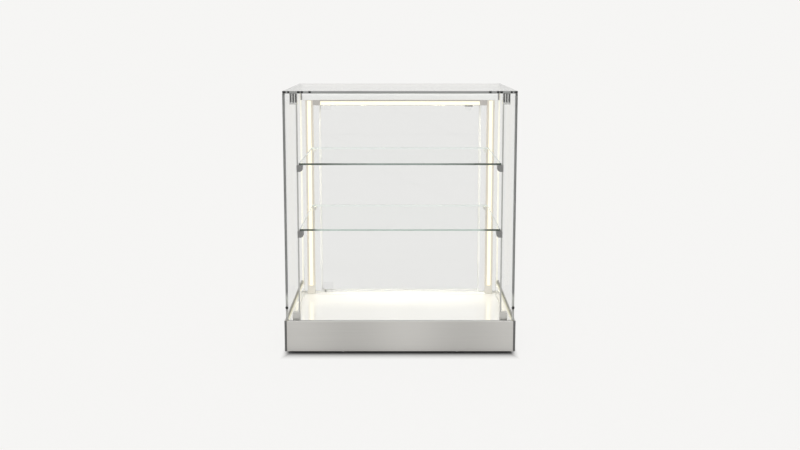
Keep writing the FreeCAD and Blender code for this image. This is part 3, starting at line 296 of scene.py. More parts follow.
def turned(axis, centre, profile, radii, capped=True, knurl=0.0, knurls=0):
    """A profile of radius and distance along an axis, turned about the axis through the centre.

    Each rounded profile point is carried round a circle of its radius. Where the profile faces outwards,
    a cosine of so many waves a turn may raise knurls. A capped profile starts and ends near the axis."""
    corners = np.asarray(profile, float)
    radii = np.broadcast_to(np.asarray(radii, float), len(corners))
    if capped:
        ends = [(0.0, corners[0, 1]), (0.0, corners[-1, 1])]
        flat, flat_normal = rounded_outline([ends[0], *corners, ends[1]], [MM / 100, *radii, MM / 100])
        flat = flat[ARC_STEPS + 1:-ARC_STEPS - 1]
        flat_normal = flat_normal[ARC_STEPS + 1:-ARC_STEPS - 1]
    else:
        flat, flat_normal = rounded_outline(corners, radii)
    around = np.linspace(0, 2 * math.pi, TURN_STEPS, endpoint=False)[None]
    outward = np.abs(flat_normal[:, :1])
    radius = flat[:, :1] + knurl * outward * np.cos(knurls * around)
    along = np.broadcast_to(flat[:, 1:], radius.shape)
    points = np.stack([along, radius * np.cos(around), radius * np.sin(around)], axis=2)
    lean = np.broadcast_to(flat_normal[:, :1], radius.shape)
    upward = np.broadcast_to(flat_normal[:, 1:], radius.shape)
    normals = np.stack([upward, lean * np.cos(around), lean * np.sin(around)], axis=2)
    points = np.roll(points, axis, axis=2) + np.asarray(centre, float)
    return skin(points, np.roll(normals, axis, axis=2), capped)


def joined(*surfaces):
    """Several skins as one surface."""
    points = []
    normals = []
    faces = []
    count = 0
    for some_points, some_normals, some_faces in surfaces:
        points.append(some_points)
        normals.append(some_normals)
        faces += [[corner + count for corner in face] for face in some_faces]
        count += len(some_points)
    return np.concatenate(points), np.concatenate(normals), faces


def mirrored(surface, axis):
    """The mirror image across the plane through the origin, with its faces turned to point outwards."""
    points, normals, faces = surface
    flip = np.ones(3)
    flip[axis] = -1
    return points * flip, normals * flip, [face[::-1] for face in faces]


def both_sides(surface):
    """A surface and its mirror image on the other side of the case."""
    return joined(surface, mirrored(surface, X))


def all_corners(surface):
    """A surface at one corner of the base and its mirror images at the other three."""
    return both_sides(joined(surface, mirrored(surface, Y)))


# Pieces in the scene

def node_box(node):
    """Lowest and highest corner of a node as arrays."""
    low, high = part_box(node)
    return np.array(low), np.array(high)


def right_box(node, width):
    """The box of the right-hand one of a pair of mirrored solids, of that width, in one node."""
    low, high = node_box(node)
    low[X] = high[X] - width
    return low, high


def right_round(node):
    """Radius, front middle and length of a node's right-hand round solid, which lies along Y."""
    low, high = node_box(node)
    radius = (high[Z] - low[Z]) / 2
    return radius, (high[X] - radius, low[Y], (low[Z] + high[Z]) / 2), high[Y] - low[Y]


def put(name, data):
    """A new object in the scene."""
    item = bpy.data.objects.new(name, data)
    bpy.context.scene.collection.objects.link(item)
    return item


def add_piece(name, surface, finish, *nodes):
    """Makes a surface a mesh object that stands for the given nodes and rides on their body."""
    points, normals, faces = surface
    mesh = bpy.data.meshes.new(name)
    mesh.from_pydata(points.tolist(), [], faces)
    mesh.shade_smooth()
    mesh.normals_split_custom_set_from_vertices(normals)
    mesh.materials.append(finishes[finish])
    piece = put(name, mesh)
    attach(piece, frame["nodes"][nodes[0]]["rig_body"])
    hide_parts(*nodes)
    return piece


def add_slab(name, finish, node, axis, corner, edge):
    """Makes a node that is a plain box a piece with rounded corners and edges."""
    add_piece(name, slab(*node_box(node), axis, corner, edge), finish, node)


def add_pair(name, surface, finish, node):
    """Makes a surface at the right and its mirror image at the left two pieces."""
    add_piece(f"right_{name}", surface, finish, f"{node}_right")
    add_piece(f"left_{name}", mirrored(surface, X), finish, f"{node}_left")


def dress(finish, *nodes):
    """Gives nodes that keep their own shape a finish."""
    for name in nodes:
        for slot in frame["nodes"][name].material_slots:
            slot.material = finishes[finish]


# Where the finishes change, in metres along an axis or from the middle to either side, and how panes mirror

DECK_SHINE = (0.150, 0.165)  # height to which painted light from the deck brightens the pane edges
FRONT_EDGE = (-0.243, -0.236)  # depth to which the pane edges are grey
BAR_SHINE = (0.225, 0.245)  # depth from which painted light from the light bars shines into the side panes
DOOR_SHINE = (0.130, 0.160)  # height from which painted light glows in the edges of the door
TOP_SIDE = 0.2972  # where the side edges of the top begin
SHELF_FRONT = (-0.233, -0.215)  # depth to which the shelf edges keep their front colour, and from which painted light from the light bars pales them
UPPER_FADE = (0.03, 0.205)  # where painted shade darkens the edge of the upper shelf
LOWER_FADE = (0.20, 0.227)  # where painted shade darkens the edge of the lower shelf
# Where painted images of the dark pieces under the top show through its front edge
PAINTED_SHOW_THROUGH = ((0.227, 0.233), (0.247, 0.253), (0.255, 0.262), (0.282, 0.287), (0.291, 0.300))
SHEEN_MIDDLE = 0.018  # middle of a bright band of painted sheen on the steel
SHEEN_PITCH = 0.295  # distance from bright band to bright band of the painted sheen
SHADOW_SIDE = 0.010  # how far past the sides and the rear of the base the painted shadow ends
CLEAR_FACE = 0.985  # how straight a face has to look along a pane's axis to be clear
PANE_MIRROR = 0.07  # how much a pane mirrors at the lowest angle
TOP_MIRROR = 0.9  # how much the top does


# Finishes

class Finish:
    """A material under construction, with short names for its nodes."""

    def __init__(self, name):
        self.material = bpy.data.materials.new(name)
        self.material.use_nodes = True
        self.tree = self.material.node_tree
        self.shader = next(node for node in self.tree.nodes if node.type == "BSDF_PRINCIPLED")
        self.own = self.shader.outputs[0]
        self.output = next(node for node in self.tree.nodes if node.type == "OUTPUT_MATERIAL")
        self.place = self.add("TexCoord").outputs["Object"]
        finishes[name] = self.material

    def add(self, kind, inputs=None, **settings):
        """A new node; inputs are set or linked by name or number."""
        node = self.tree.nodes.new("ShaderNode" + kind)
        for key, value in settings.items():
            setattr(node, key, value)
        for key, value in (inputs or {}).items():
            self.feed(node.inputs[key], value)
        return node

    def feed(self, socket, value):
        """Links a socket to another one, or sets its value."""
        if isinstance(value, bpy.types.NodeSocket):
            self.tree.links.new(value, socket)
        else:
            socket.default_value = value

    def set(self, **values):
        """Sets inputs of the surface shader; an underscore stands for a blank."""
        for key, value in values.items():
            self.feed(self.shader.inputs[key.replace("_", " ")], value)

    def math(self, operation, first, second=0.0):
        """The result of one operation on two values."""
        return self.add("Math", {0: first, 1: second}, operation=operation).outputs[0]

    def noise(self, grain, detail=3.0):
        """Noise with so many cycles a metre, along all axes or along each."""
        cycles = [float(along) for along in np.broadcast_to(grain, 3)]
        mapped = self.add("Mapping", {"Vector": self.place, "Scale": cycles}).outputs[0]
        return self.add("TexNoise", {"Vector": mapped, "Scale": 1.0, "Detail": detail}).outputs[0]

    def between(self, value, low, high, start=0.0, end=1.0):
        """A value mapped from one span to another."""
        inputs = {"Value": value, "From Min": start, "From Max": end, "To Min": low, "To Max": high}
        return self.add("MapRange", inputs).outputs[0]

    def blend(self, factor, first, second):
        """A colour between two colours."""
        inputs = {"Factor": factor, 6: first, 7: second}
        return self.add("Mix", inputs, data_type="RGBA").outputs[2]

    def relief(self, height, strength, distance):
        """Fine relief from a height."""
        bump = self.add("Bump", {"Height": height, "Strength": strength, "Distance": distance})
        self.set(Normal=bump.outputs[0])

    def axis(self, vector, axis):
        """One coordinate of a vector."""
        return self.add("SeparateXYZ", {0: vector}).outputs[axis]

    def along(self, axis):
        """The place along one axis."""
        return self.axis(self.place, axis)

    def reach(self):
        """The distance from the middle to either side."""
        return self.math("ABSOLUTE", self.along(X))

    def tones(self, factor, tone, low, high):
        """A colour between two shades of one tone."""
        return self.blend(factor, shade(tone, low), shade(tone, high))

    def without(self, first, second):
        """One mask without another."""
        rest = self.math("SUBTRACT", first, second)
        rest.node.use_clamp = True
        return rest

    def glow(self, tone, strength):
        """Makes the surface send out light."""
        self.set(Emission_Color=shade(tone), Emission_Strength=strength)

    def show(self, factor, first, second):
        """Makes a mix of two shaders the surface of the material."""
        mix = self.add("MixShader", {0: factor, 1: first, 2: second})
        self.feed(self.output.inputs["Surface"], mix.outputs[0])


def shade(tone, factor=1.0):
    """A colour made lighter or darker, with its opacity."""
    return tuple(min(1.0, channel * factor) for channel in tone) + (1.0,)


def grained(name, tone, spread, roughness, grain, depth, metallic=0.0):
    """A finish whose colour and roughness wander with one grain, and whose relief follows it."""
    finish = Finish(name)
    grain_value = finish.noise(grain)
    finish.set(Metallic=metallic)
    finish.set(Base_Color=finish.tones(grain_value, tone, 1 - spread, 1 + spread))
    finish.set(Roughness=finish.between(grain_value, *roughness))
    finish.relief(grain_value, 0.6, depth)
    return finish


def pane_faces(finish, axis, tint, shine=PANE_MIRROR):
    """The clear faces of a pane: see-through with a soft mirror, and a mask that is nought on the edges."""
    facing = finish.add("LayerWeight", {"Blend": 0.5}).outputs["Facing"]
    gloss = finish.between(finish.math("POWER", facing, 4.0), 0.025, shine)
    clear = finish.add("BsdfTransparent", {"Color": shade(tint)}).outputs[0]
    mirror = finish.add("BsdfGlossy", {"Color": shade(tint, 0.95), "Roughness": 0.03}).outputs[0]
    faces = finish.add("MixShader", {0: gloss, 1: clear, 2: mirror}).outputs[0]
    normal = finish.tree.nodes.new("ShaderNodeTexCoord").outputs["Normal"]
    upright = finish.math("ABSOLUTE", finish.axis(normal, axis))
    return faces, finish.math("GREATER_THAN", upright, CLEAR_FACE)


def clear_acrylic(name, axis, settings):
    """Clear acrylic: grey edges at the front, with painted light that makes them paler beside the bright deck
    and towards the light bars.

    The foot of a pane, down in the base, has no clear faces: pale setting tape covers it. On the side panes
    the tape and the rear edges glow with painted light."""
    finish = Finish(name)
    faces, mask = pane_faces(finish, axis, settings.pane_tint, TOP_MIRROR if axis == Z else PANE_MIRROR)
    deck_shine = finish.between(finish.along(Z), 1.0, 0.0, *DECK_SHINE)
    depth = finish.along(Y)
    front = finish.between(depth, 1.0, 0.0, *FRONT_EDGE)
    cloud = finish.noise(6)
    grey = finish.tones(cloud, settings.pane_edge, 0.8, 1.25)
    pale = shade(settings.pane_edge_rear)
    if axis == Z:
        # Painted images of the clamps and light bars in the front edge of the top
        grey = finish.blend(painted_show_through(finish), grey, shade(settings.painted_show_through_tone))
        side = finish.math("GREATER_THAN", finish.reach(), TOP_SIDE)
        pale = finish.blend(side, shade(settings.pane_edge_rear, 0.84), shade(settings.pane_edge, 1.6))
        mask = finish.without(mask, side)
    tone = finish.blend(deck_shine, grey, shade(settings.pane_edge_low))
    tone = finish.blend(front, pale, tone)
    rim = node_box("base_corner_profiles")[1][Z]
    foot = finish.math("LESS_THAN", finish.along(Z), rim)
    finish.set(Base_Color=finish.blend(foot, tone, shade(settings.setting_tape)))
    finish.set(Roughness=finish.between(cloud, 0.12, 0.28))
    if axis == X:
        # Painted light in the rear edges and on the tape at the foot of the side panes
        bar_light = finish.between(depth, 0.0, settings.rear_glow, *BAR_SHINE)
        painted_foot_light = finish.math("MULTIPLY", foot, settings.foot_glow)
        finish.glow(settings.lamp, finish.math("MAXIMUM", bar_light, painted_foot_light))
    finish.show(finish.without(mask, foot), finish.own, faces)


def painted_show_through(finish):
    """One where painted images of the clamps and light bars show through the front edge above them, and
    nought elsewhere.
    """
    reach = finish.reach()
    dark = 0.0
    for start, end in PAINTED_SHOW_THROUGH:
        inside = finish.math("COMPARE", reach, (start + end) / 2)
        inside.node.inputs[2].default_value = (end - start) / 2
        dark = finish.math("MAXIMUM", inside, dark)
    return dark


def door_acrylic(name, axis, settings):
    """Clear acrylic whose edges show pale and glow with painted light."""
    finish = Finish(name)
    faces, mask = pane_faces(finish, axis, settings.pane_tint)
    cloud = finish.noise(9)
    finish.set(Base_Color=finish.tones(cloud, settings.door_edge, 0.94, 1.0))
    finish.set(Roughness=finish.between(cloud, 0.2, 0.4))
    lit = finish.between(finish.along(Z), 0.0, settings.door_glow, *DOOR_SHINE)
    finish.glow(settings.lamp, lit)
    finish.show(mask, finish.own, faces)


def clear_fitting(name):
    """A small solid clear piece, frosted where its side is seen at a low angle."""
    finish = Finish(name)
    facing = finish.add("LayerWeight", {"Blend": 0.35}).outputs["Facing"]
    rim = finish.blend(finish.noise(60), (0.80, 0.81, 0.80, 1.0), (0.90, 0.91, 0.90, 1.0))
    finish.set(Base_Color=rim, Roughness=0.12)
    clear = finish.add("BsdfTransparent", {"Color": (0.992, 0.992, 0.992, 1.0)}).outputs[0]
    finish.show(finish.between(facing, 0.01, 0.14), clear, finish.own)


def shelf_glass(name, edge, fade, settings):
    """Float glass: clear faces, green edges that darken towards both ends with painted shade and turn pale
    towards the rear with painted light from the light bars.

    The darkening grows as the square of the way from the first to the second distance from the middle."""
    finish = Finish(name)
    faces, mask = pane_faces(finish, Z, settings.glass_tint)
    ends = finish.math("POWER", finish.between(finish.reach(), 0.0, 1.0, *fade), 2.0)
    cloud = finish.noise(14)
    middle = finish.tones(cloud, edge, 0.9, 1.1)
    front_tone = finish.blend(ends, middle, shade(settings.glass_edge_end_painted_shade))
    rear = finish.between(finish.along(Y), 0.0, 1.0, *SHELF_FRONT)
    finish.set(Base_Color=finish.blend(rear, front_tone, shade(settings.glass_edge_rear_painted_light)))
    finish.set(Roughness=finish.between(cloud, 0.15, 0.35))
    finish.show(mask, finish.own, faces)


def brushed_steel(name, grain_axis, settings):
    """Steel with fine brush lines along one axis, broad soft bands of painted sheen, and painted shade that
    darkens it towards the ground.
    """
    finish = Finish(name)
    fine = [1400.0, 1400.0, 1400.0]
    fine[grain_axis] = 9.0
    lines = finish.noise(fine, 5.0)
    # Painted sheen: broad bright and dark bands that stand in for reflections
    middle = finish.math("SUBTRACT", finish.along(grain_axis), SHEEN_MIDDLE)
    wave = finish.math("COSINE", finish.math("MULTIPLY", middle, 2 * math.pi / SHEEN_PITCH))
    bands = finish.between(wave, 0.0, 1.0, -1.0, 1.0)
    dark = finish.tones(lines, settings.steel, 0.80, 0.94)
    light = finish.tones(lines, settings.steel, 0.94, 1.08)
    low, high = node_box("fascia_front")
    # Painted shade: the steel darkens towards the ground
    fall = finish.between(finish.along(Z), 0.97, 1.02, low[Z], high[Z])
    tone = finish.add("VectorMath", {0: finish.blend(bands, dark, light), "Scale": fall}, operation="SCALE")
    finish.set(Base_Color=tone.outputs[0], Metallic=1.0)
    finish.set(Roughness=finish.between(lines, 0.26, 0.44))
    finish.relief(lines, 0.35, 0.00006)


def clip_metal(name, settings):
    """Satin steel clips at the front; the rear ones are drawn pale and not metallic, as painted light beside
    the light bars.
    """
    finish = Finish(name)
    cloud = finish.noise(900)
    rear = finish.math("GREATER_THAN", finish.along(Y), 0.0)
    tone = finish.tones(cloud, settings.clip_steel, 0.92, 1.08)
    # Painted light: the rear clips are shown pale
    bright = finish.tones(cloud, settings.rear_clip_painted_light, 0.96, 1.04)
    finish.set(Base_Color=finish.blend(rear, tone, bright), Metallic=finish.between(rear, 1.0, 0.0))
    finish.set(Roughness=finish.between(cloud, 0.30, 0.42))
    finish.relief(cloud, 0.6, 0.00004)


def lit_opal(name, settings):
    """Opal strips lit from behind, a little uneven along their length."""
    finish = Finish(name)
    cloud = finish.noise(30)
    strength = finish.between(cloud, settings.lamp_strength * 0.97, settings.lamp_strength * 1.03)
    finish.set(Base_Color=shade(settings.opal), Roughness=0.35)
    finish.glow(settings.lamp, strength)


def fluted_chrome(name, front, depth):
    """Bright chrome whose flutes are painted dark by their depth behind the front face, as painted shade in
    the recesses.
    """
    finish = Finish(name)
    behind = finish.between(finish.along(Y), 0.0, 1.0, front + depth * 0.25, front + depth * 0.5)
    within = finish.between(finish.along(Y), 1.0, 0.0, front + depth * 1.2, front + depth * 1.4)
    # Mask of the painted shade inside the flutes
    flute = finish.math("MULTIPLY", behind, within)
    cloud = finish.noise((220, 220, 40))
    bright = finish.blend(cloud, (0.54, 0.54, 0.53, 1.0), (0.66, 0.66, 0.65, 1.0))
    finish.set(Base_Color=finish.blend(flute, bright, (0.09, 0.09, 0.09, 1.0)), Metallic=1.0)
    finish.set(Roughness=finish.between(cloud, 0.10, 0.22))


def seen_rays(tree):
    """One for what the eye, mirrors and glass look at, and nought for light that falls on things."""
    path = tree.nodes.new("ShaderNodeLightPath")
    looks = path.outputs["Is Camera Ray"]
    for kind in ("Is Glossy Ray", "Is Transmission Ray"):
        both = tree.nodes.new("ShaderNodeMath")
        both.operation = "MAXIMUM"
        tree.links.new(looks, both.inputs[0])
        tree.links.new(path.outputs[kind], both.inputs[1])
        looks = both.outputs[0]
    return looks


def stage_floor(name, stage):
    """A pale matt floor, evenly bright away from the case, with a painted shadow under and in front of the
    base.
    """
    finish = Finish(name)
    low, high = node_box("base_corner_profiles")
    cloud = finish.noise(3)
    depth = finish.along(Y)
    before = finish.between(depth, stage.floor_glow, 0.0, low[Y] - stage.shadow_reach, low[Y])
    beside = finish.between(
        finish.reach(), 0.0, stage.floor_glow, high[X] - SHADOW_SIDE, high[X] + SHADOW_SIDE)
    behind = finish.between(depth, 0.0, stage.floor_glow, high[Y], high[Y] + SHADOW_SIDE)
    clear = finish.math("MAXIMUM", finish.math("MAXIMUM", before, beside), behind)
    pale = finish.tones(cloud, stage.backdrop, 0.92, 0.93)
    # Painted shadow: a darker floor colour under and in front of the base
    finish.set(Base_Color=finish.blend(clear, shade(stage.backdrop, 0.28), pale), Roughness=0.8)
    glow = finish.add("Emission", {"Color": shade(stage.backdrop), "Strength": 1.0}).outputs[0]
    finish.show(finish.math("MULTIPLY", clear, seen_rays(finish.tree)), finish.own, glow)


def make_finishes(scene):
    """All finishes of the case and its floor."""
    settings = scene.case_finish
    clear_acrylic("acrylic_level", Z, settings)
    clear_acrylic("acrylic_front", Y, settings)
    clear_acrylic("acrylic_side", X, settings)
    door_acrylic("acrylic_door", Y, settings)
    clear_fitting("acrylic_fitting")
    # One glass for both shelves, with edge tones of painted light and shade that differ between them
    shelf_glass("upper_shelf_glass", settings.upper_edge, UPPER_FADE, settings)
    shelf_glass("lower_shelf_glass", settings.lower_edge, LOWER_FADE, settings)
    brushed_steel("brushed_steel_front", X, settings)
    brushed_steel("brushed_steel_side", Y, settings)
    lit_opal("lit_opal", settings)
    clamp_low, _ = node_box("post_top_clamps")
    fluted_chrome("fluted_chrome", clamp_low[Y], scene.case_sizes.flute_depth)
    deck = grained("white_gloss", settings.white_gloss, 0.012, (0.04, 0.07), 40, 0.00001)
    deck.set(Coat_Weight=0.8, Coat_Roughness=0.03)
    grained("white_coat", settings.white_coat, 0.02, (0.42, 0.52), 900, 0.00006)
    grained("sill_coat", (0.86, 0.86, 0.84), 0.02, (0.42, 0.52), 900, 0.00006)
    grained("dark_profile", (0.14, 0.14, 0.137), 0.12, (0.35, 0.45), (1200, 1200, 30), 0.00003, 0.8)
    grained("galvanised_sheet", (0.46, 0.47, 0.48), 0.14, (0.35, 0.55), 90, 0.00004, 1.0)
    grained("mill_aluminium", (0.62, 0.63, 0.64), 0.06, (0.30, 0.42), (60, 900, 900), 0.00004, 1.0)
    # The channels' warm tint is painted lamp light; the level channel's darker copy is painted shade
    grained("lamp_warmed_aluminium", settings.lamp_warmed_aluminium, 0.05, (0.38, 0.50), (1400, 1400, 20), 0.00003, 0.6)
    grained("shaded_lamp_warmed_aluminium", (0.52, 0.47, 0.41), 0.05, (0.38, 0.50), (20, 1400, 1400), 0.00003, 0.6)
    grained("satin_steel", settings.satin_steel, 0.08, (0.30, 0.42), (900, 900, 30), 0.00004, 1.0)
    clip_metal("clip_steel", settings)
    grained("foot_aluminium", settings.foot_aluminium, 0.05, (0.30, 0.42), (900, 900, 30), 0.00004, 0.9)
    grained("grey_plastic", (0.52, 0.49, 0.46), 0.05, (0.45, 0.60), 1100, 0.00006)
    grained("pale_plastic", (0.74, 0.71, 0.65), 0.05, (0.45, 0.60), 1100, 0.00006)
    grained("gasket_rubber", (0.42, 0.42, 0.41), 0.06, (0.65, 0.80), 700, 0.00008)
    grained("black_rubber", (0.016, 0.016, 0.016), 0.25, (0.60, 0.78), 800, 0.00010)
    grained("black_plastic", (0.022, 0.022, 0.022), 0.20, (0.42, 0.58), 1300, 0.00006)
    grained("cap_plastic", (0.31, 0.30, 0.29), 0.12, (0.45, 0.60), 1300, 0.00006)
    grained("rocker_plastic", (0.028, 0.028, 0.028), 0.15, (0.18, 0.28), 500, 0.00002)
    grained("white_nylon", (0.78, 0.77, 0.73), 0.03, (0.45, 0.60), 900, 0.00004)
    grained("board_white", (0.82, 0.82, 0.80), 0.03, (0.30, 0.40), 400, 0.00002)
    grained("chip_yellow", (0.85, 0.66, 0.18), 0.05, (0.25, 0.35), 600, 0.00002)
    grained("screw_steel", (0.50, 0.50, 0.50), 0.10, (0.25, 0.40), 1500, 0.00003, 1.0)
    stage_floor("stage_floor", scene.case_stage)


# Operators, one for each group of pieces

class DISPLAYCASE_OT_finishes(bpy.types.Operator):
    """Finishes of all pieces"""
    bl_idname = "display_case.finishes"
    bl_label = "Finishes"

    def execute(self, context):
        make_finishes(context.scene)
        return {"FINISHED"}


class DISPLAYCASE_OT_panes(bpy.types.Operator):
    """Top, front and side panes and the two strips beside the rear door"""
    bl_idname = "display_case.panes"
    bl_label = "Clear panes"

    def execute(self, context):
        sizes = context.scene.case_sizes
        panes = (
            ("top_pane", Z, "acrylic_level"), ("front_pane", Y, "acrylic_front"),
            ("side_pane_left", X, "acrylic_side"), ("side_pane_right", X, "acrylic_side"),
            ("rear_strip_left", Y, "acrylic_door"), ("rear_strip_right", Y, "acrylic_door"),
        )
        arrises = {"acrylic_level": sizes.top_arris, "acrylic_door": sizes.door_arris}
        for node, axis, finish in panes:
            arris = arrises.get(finish, sizes.pane_arris)
            add_slab(f"{node}_polished", finish, node, axis, max(sizes.pane_corner, arris), arris)
        return {"FINISHED"}


class DISPLAYCASE_OT_pane_screws(bpy.types.Operator):
    """Black button screws low on the front pane"""
    bl_idname = "display_case.pane_screws"
    bl_label = "Front pane screws"

    head_height: length("Head height", "Height of the round head", 2.0)
    stem_radius: length("Stem radius", "Radius of the threaded stem", 1.7)
    socket_radius: length("Socket radius", "Radius of the key socket", 1.5)
    socket_depth: length("Socket depth", "Depth of the key socket", 1.1)

    def execute(self, context):
        edge = context.scene.case_sizes.fine_edge
        radius, centre, end = right_round("front_pane_screws")
        seat = self.head_height
        profile = [
            (self.socket_radius * 0.9, self.socket_depth), (self.socket_radius, edge / 2),
            (self.socket_radius + edge, 0.0), (radius, seat - edge), (radius, seat),
            (self.stem_radius, seat), (self.stem_radius, end),
        ]
        rounds = [edge / 8, edge / 4, edge, edge, edge / 8, edge / 8, edge / 2]
        screw = turned(Y, centre, profile, rounds)
        add_piece("front_pane_button_screws", both_sides(screw), "black_plastic", "front_pane_screws")
        return {"FINISHED"}


class DISPLAYCASE_OT_shelves(bpy.types.Operator):
    """The two glass shelves"""
    bl_idname = "display_case.shelves"
    bl_label = "Glass shelves"

    def execute(self, context):
        sizes = context.scene.case_sizes
        for node in ("upper_shelf", "lower_shelf"):
            add_slab(f"{node}_pane", f"{node}_glass", node, Z, sizes.shelf_corner, sizes.shelf_arris)
        return {"FINISHED"}


class DISPLAYCASE_OT_fascias(bpy.types.Operator):
    """Brushed steel walls of the base, and the gaskets of the panes"""
    bl_idname = "display_case.fascias"
    bl_label = "Base fascias"

    def execute(self, context):
        sizes = context.scene.case_sizes
        low, high = node_box("fascia_front")
        flange_low = low[Z] + sizes.sheet
        wall = slab(low, (high[X], low[Y] + sizes.sheet, high[Z]), Y, sizes.sheet_edge, sizes.sheet_edge)
        side_low, side_high = node_box("fascia_right")
        inset = side_low[X] - sizes.sheet_edge
        flange = slab(
            (-inset, low[Y] + sizes.sheet, flange_low), (inset, high[Y], flange_low + sizes.sheet),
            Z, sizes.sheet_edge, sizes.fine_edge)
        add_piece("front_fascia_brushed", joined(wall, flange), "brushed_steel_front", "fascia_front")
        wall_low = (side_high[X] - sizes.sheet, side_low[Y], side_low[Z])
        wall = slab(wall_low, side_high, X, sizes.sheet_edge, sizes.sheet_edge)
        flange = slab(
            (side_low[X], side_low[Y], flange_low), (wall_low[X], side_high[Y], flange_low + sizes.sheet),
            Z, sizes.sheet_edge, sizes.fine_edge)
        add_pair("fascia_brushed", joined(wall, flange), "brushed_steel_side", "fascia")
        dress("brushed_steel_front", "fascia_rear")
        dress("gasket_rubber", "glazing_gaskets")
        return {"FINISHED"}


class DISPLAYCASE_OT_corners(bpy.types.Operator):
    """Dark angle profiles at the corners of the base"""
    bl_idname = "display_case.corners"
    bl_label = "Corner profiles"

    def execute(self, context):
        sizes = context.scene.case_sizes
        low, high = node_box("base_corner_profiles")
        _, front_high = node_box("fascia_front")
        inner_x = front_high[X]
        inner_y = high[Y] - (high[X] - inner_x)
        notch = sizes.corner_notch
        corners = [
            (inner_x, inner_y + notch), (inner_x + notch, inner_y + notch), (inner_x + notch, inner_y),
            (high[X], inner_y), (high[X], high[Y]), (inner_x, high[Y]),
        ]
        fine = sizes.fine_edge
        rounds = [fine / 2, fine / 2, fine / 2, fine, sizes.corner_round, fine]
        corner = prism(Z, corners, rounds, (low[Z], high[Z]), fine)
        add_piece("corner_profiles", all_corners(corner), "dark_profile", "base_corner_profiles")
        return {"FINISHED"}


class DISPLAYCASE_OT_feet(bpy.types.Operator):
    """Rubber feet with a recess for their screws"""
    bl_idname = "display_case.feet"
    bl_label = "Feet"

    taper: length("Taper", "How much the foot narrows to the ground", 0.8)
    recess: length("Recess", "Radius of the screw recess", 4.2)
    screw_head: length("Screw head", "Radius of the head of a foot screw", 4.0)
    shank: length("Shank", "Radius of the screw hole", 2.2)
    seat: length("Seat", "Height of the screw seat", 4.0)

    def execute(self, context):
        sizes = context.scene.case_sizes
        low, high = node_box("rubber_feet")
        radius = high[X] - node_box("foot_screws")[1][X] + self.screw_head
        centre = (high[X] - radius, high[Y] - radius, 0.0)
        profile = [
            (self.recess, low[Z]), (radius - self.taper, low[Z]), (radius, high[Z]),
            (self.shank, high[Z]), (self.shank, self.seat), (self.recess, self.seat),
        ]
        edge = sizes.soft_edge
        rounds = [edge / 2, edge * 1.5, edge, edge / 4, edge / 4, edge / 4]
        foot = turned(Z, centre, profile, rounds, capped=False)
        add_piece("moulded_feet", all_corners(foot), "black_rubber", "rubber_feet")
        return {"FINISHED"}


class DISPLAYCASE_OT_deck(bpy.types.Operator):
    """Glossy white deck with its upstands"""
    bl_idname = "display_case.deck"
    bl_label = "Deck"

    def execute(self, context):
        sizes = context.scene.case_sizes
        low, high = node_box("deck_tray")
        floor = low[Z] + sizes.deck_sheet
        inner = high[X] - sizes.deck_lip
        lip_back = low[Y] + sizes.deck_lip
        corners = [
            (low[Z], low[X]), (high[Z], low[X]), (high[Z], -inner), (floor, -inner),
            (floor, inner), (high[Z], inner), (high[Z], high[X]), (low[Z], high[X]),
        ]
        edge = sizes.soft_edge
        cove = sizes.deck_cove
        rounds = [cove, edge, edge, cove, cove, edge, edge, cove]
        tray = prism(Y, corners, rounds, (lip_back, high[Y]), sizes.fine_edge / 2)
        lip = slab(low, (high[X], lip_back, high[Z]), Y, edge, sizes.fine_edge)
        add_piece("deck_gloss", joined(tray, lip), "white_gloss", "deck_tray")
        return {"FINISHED"}


class DISPLAYCASE_OT_posts(bpy.types.Operator):
    """Front posts with their fluted top clamps and feet"""
    bl_idname = "display_case.posts"
    bl_label = "Front posts"

    clamp_width: length("Clamp width", "Width of a clamp and of a post foot", 20.0)
    flutes: bpy.props.IntProperty(name="Flutes", description="Flutes of a top clamp", default=3, min=1)

    def execute(self, context):
        sizes = context.scene.case_sizes
        fine = sizes.fine_edge
        for side in ("left", "right"):
            node = f"front_post_{side}"
            add_slab(f"{node}_bar", "satin_steel", node, Z, fine, fine)
        low, high = right_box("post_top_clamps", self.clamp_width)
        corners = [(low[X], high[Y]), (low[X], low[Y])]
        first = (low[X] + high[X] - sizes.flute_pitch * (self.flutes - 1)) / 2
        for index in range(self.flutes):
            middle = first + index * sizes.flute_pitch
            start = middle - sizes.flute_width / 2
            end = middle + sizes.flute_width / 2
            bottom = low[Y] + sizes.flute_depth
            corners += [(start, low[Y]), (start, bottom), (end, bottom), (end, low[Y])]
        corners += [(high[X], low[Y]), (high[X], high[Y])]
        band = low[Z] + sizes.clamp_lip
        fluted = prism(Z, corners, fine, (band, high[Z]), fine / 2)
        plain = slab(low, (high[X], high[Y], band), Z, fine, fine)
        add_piece("fluted_clamps", both_sides(joined(fluted, plain)), "fluted_chrome", "post_top_clamps")
        foot = slab(*right_box("post_feet", self.clamp_width), Z, fine, fine)
        add_piece("post_foot_blocks", both_sides(foot), "foot_aluminium", "post_feet")
        return {"FINISHED"}


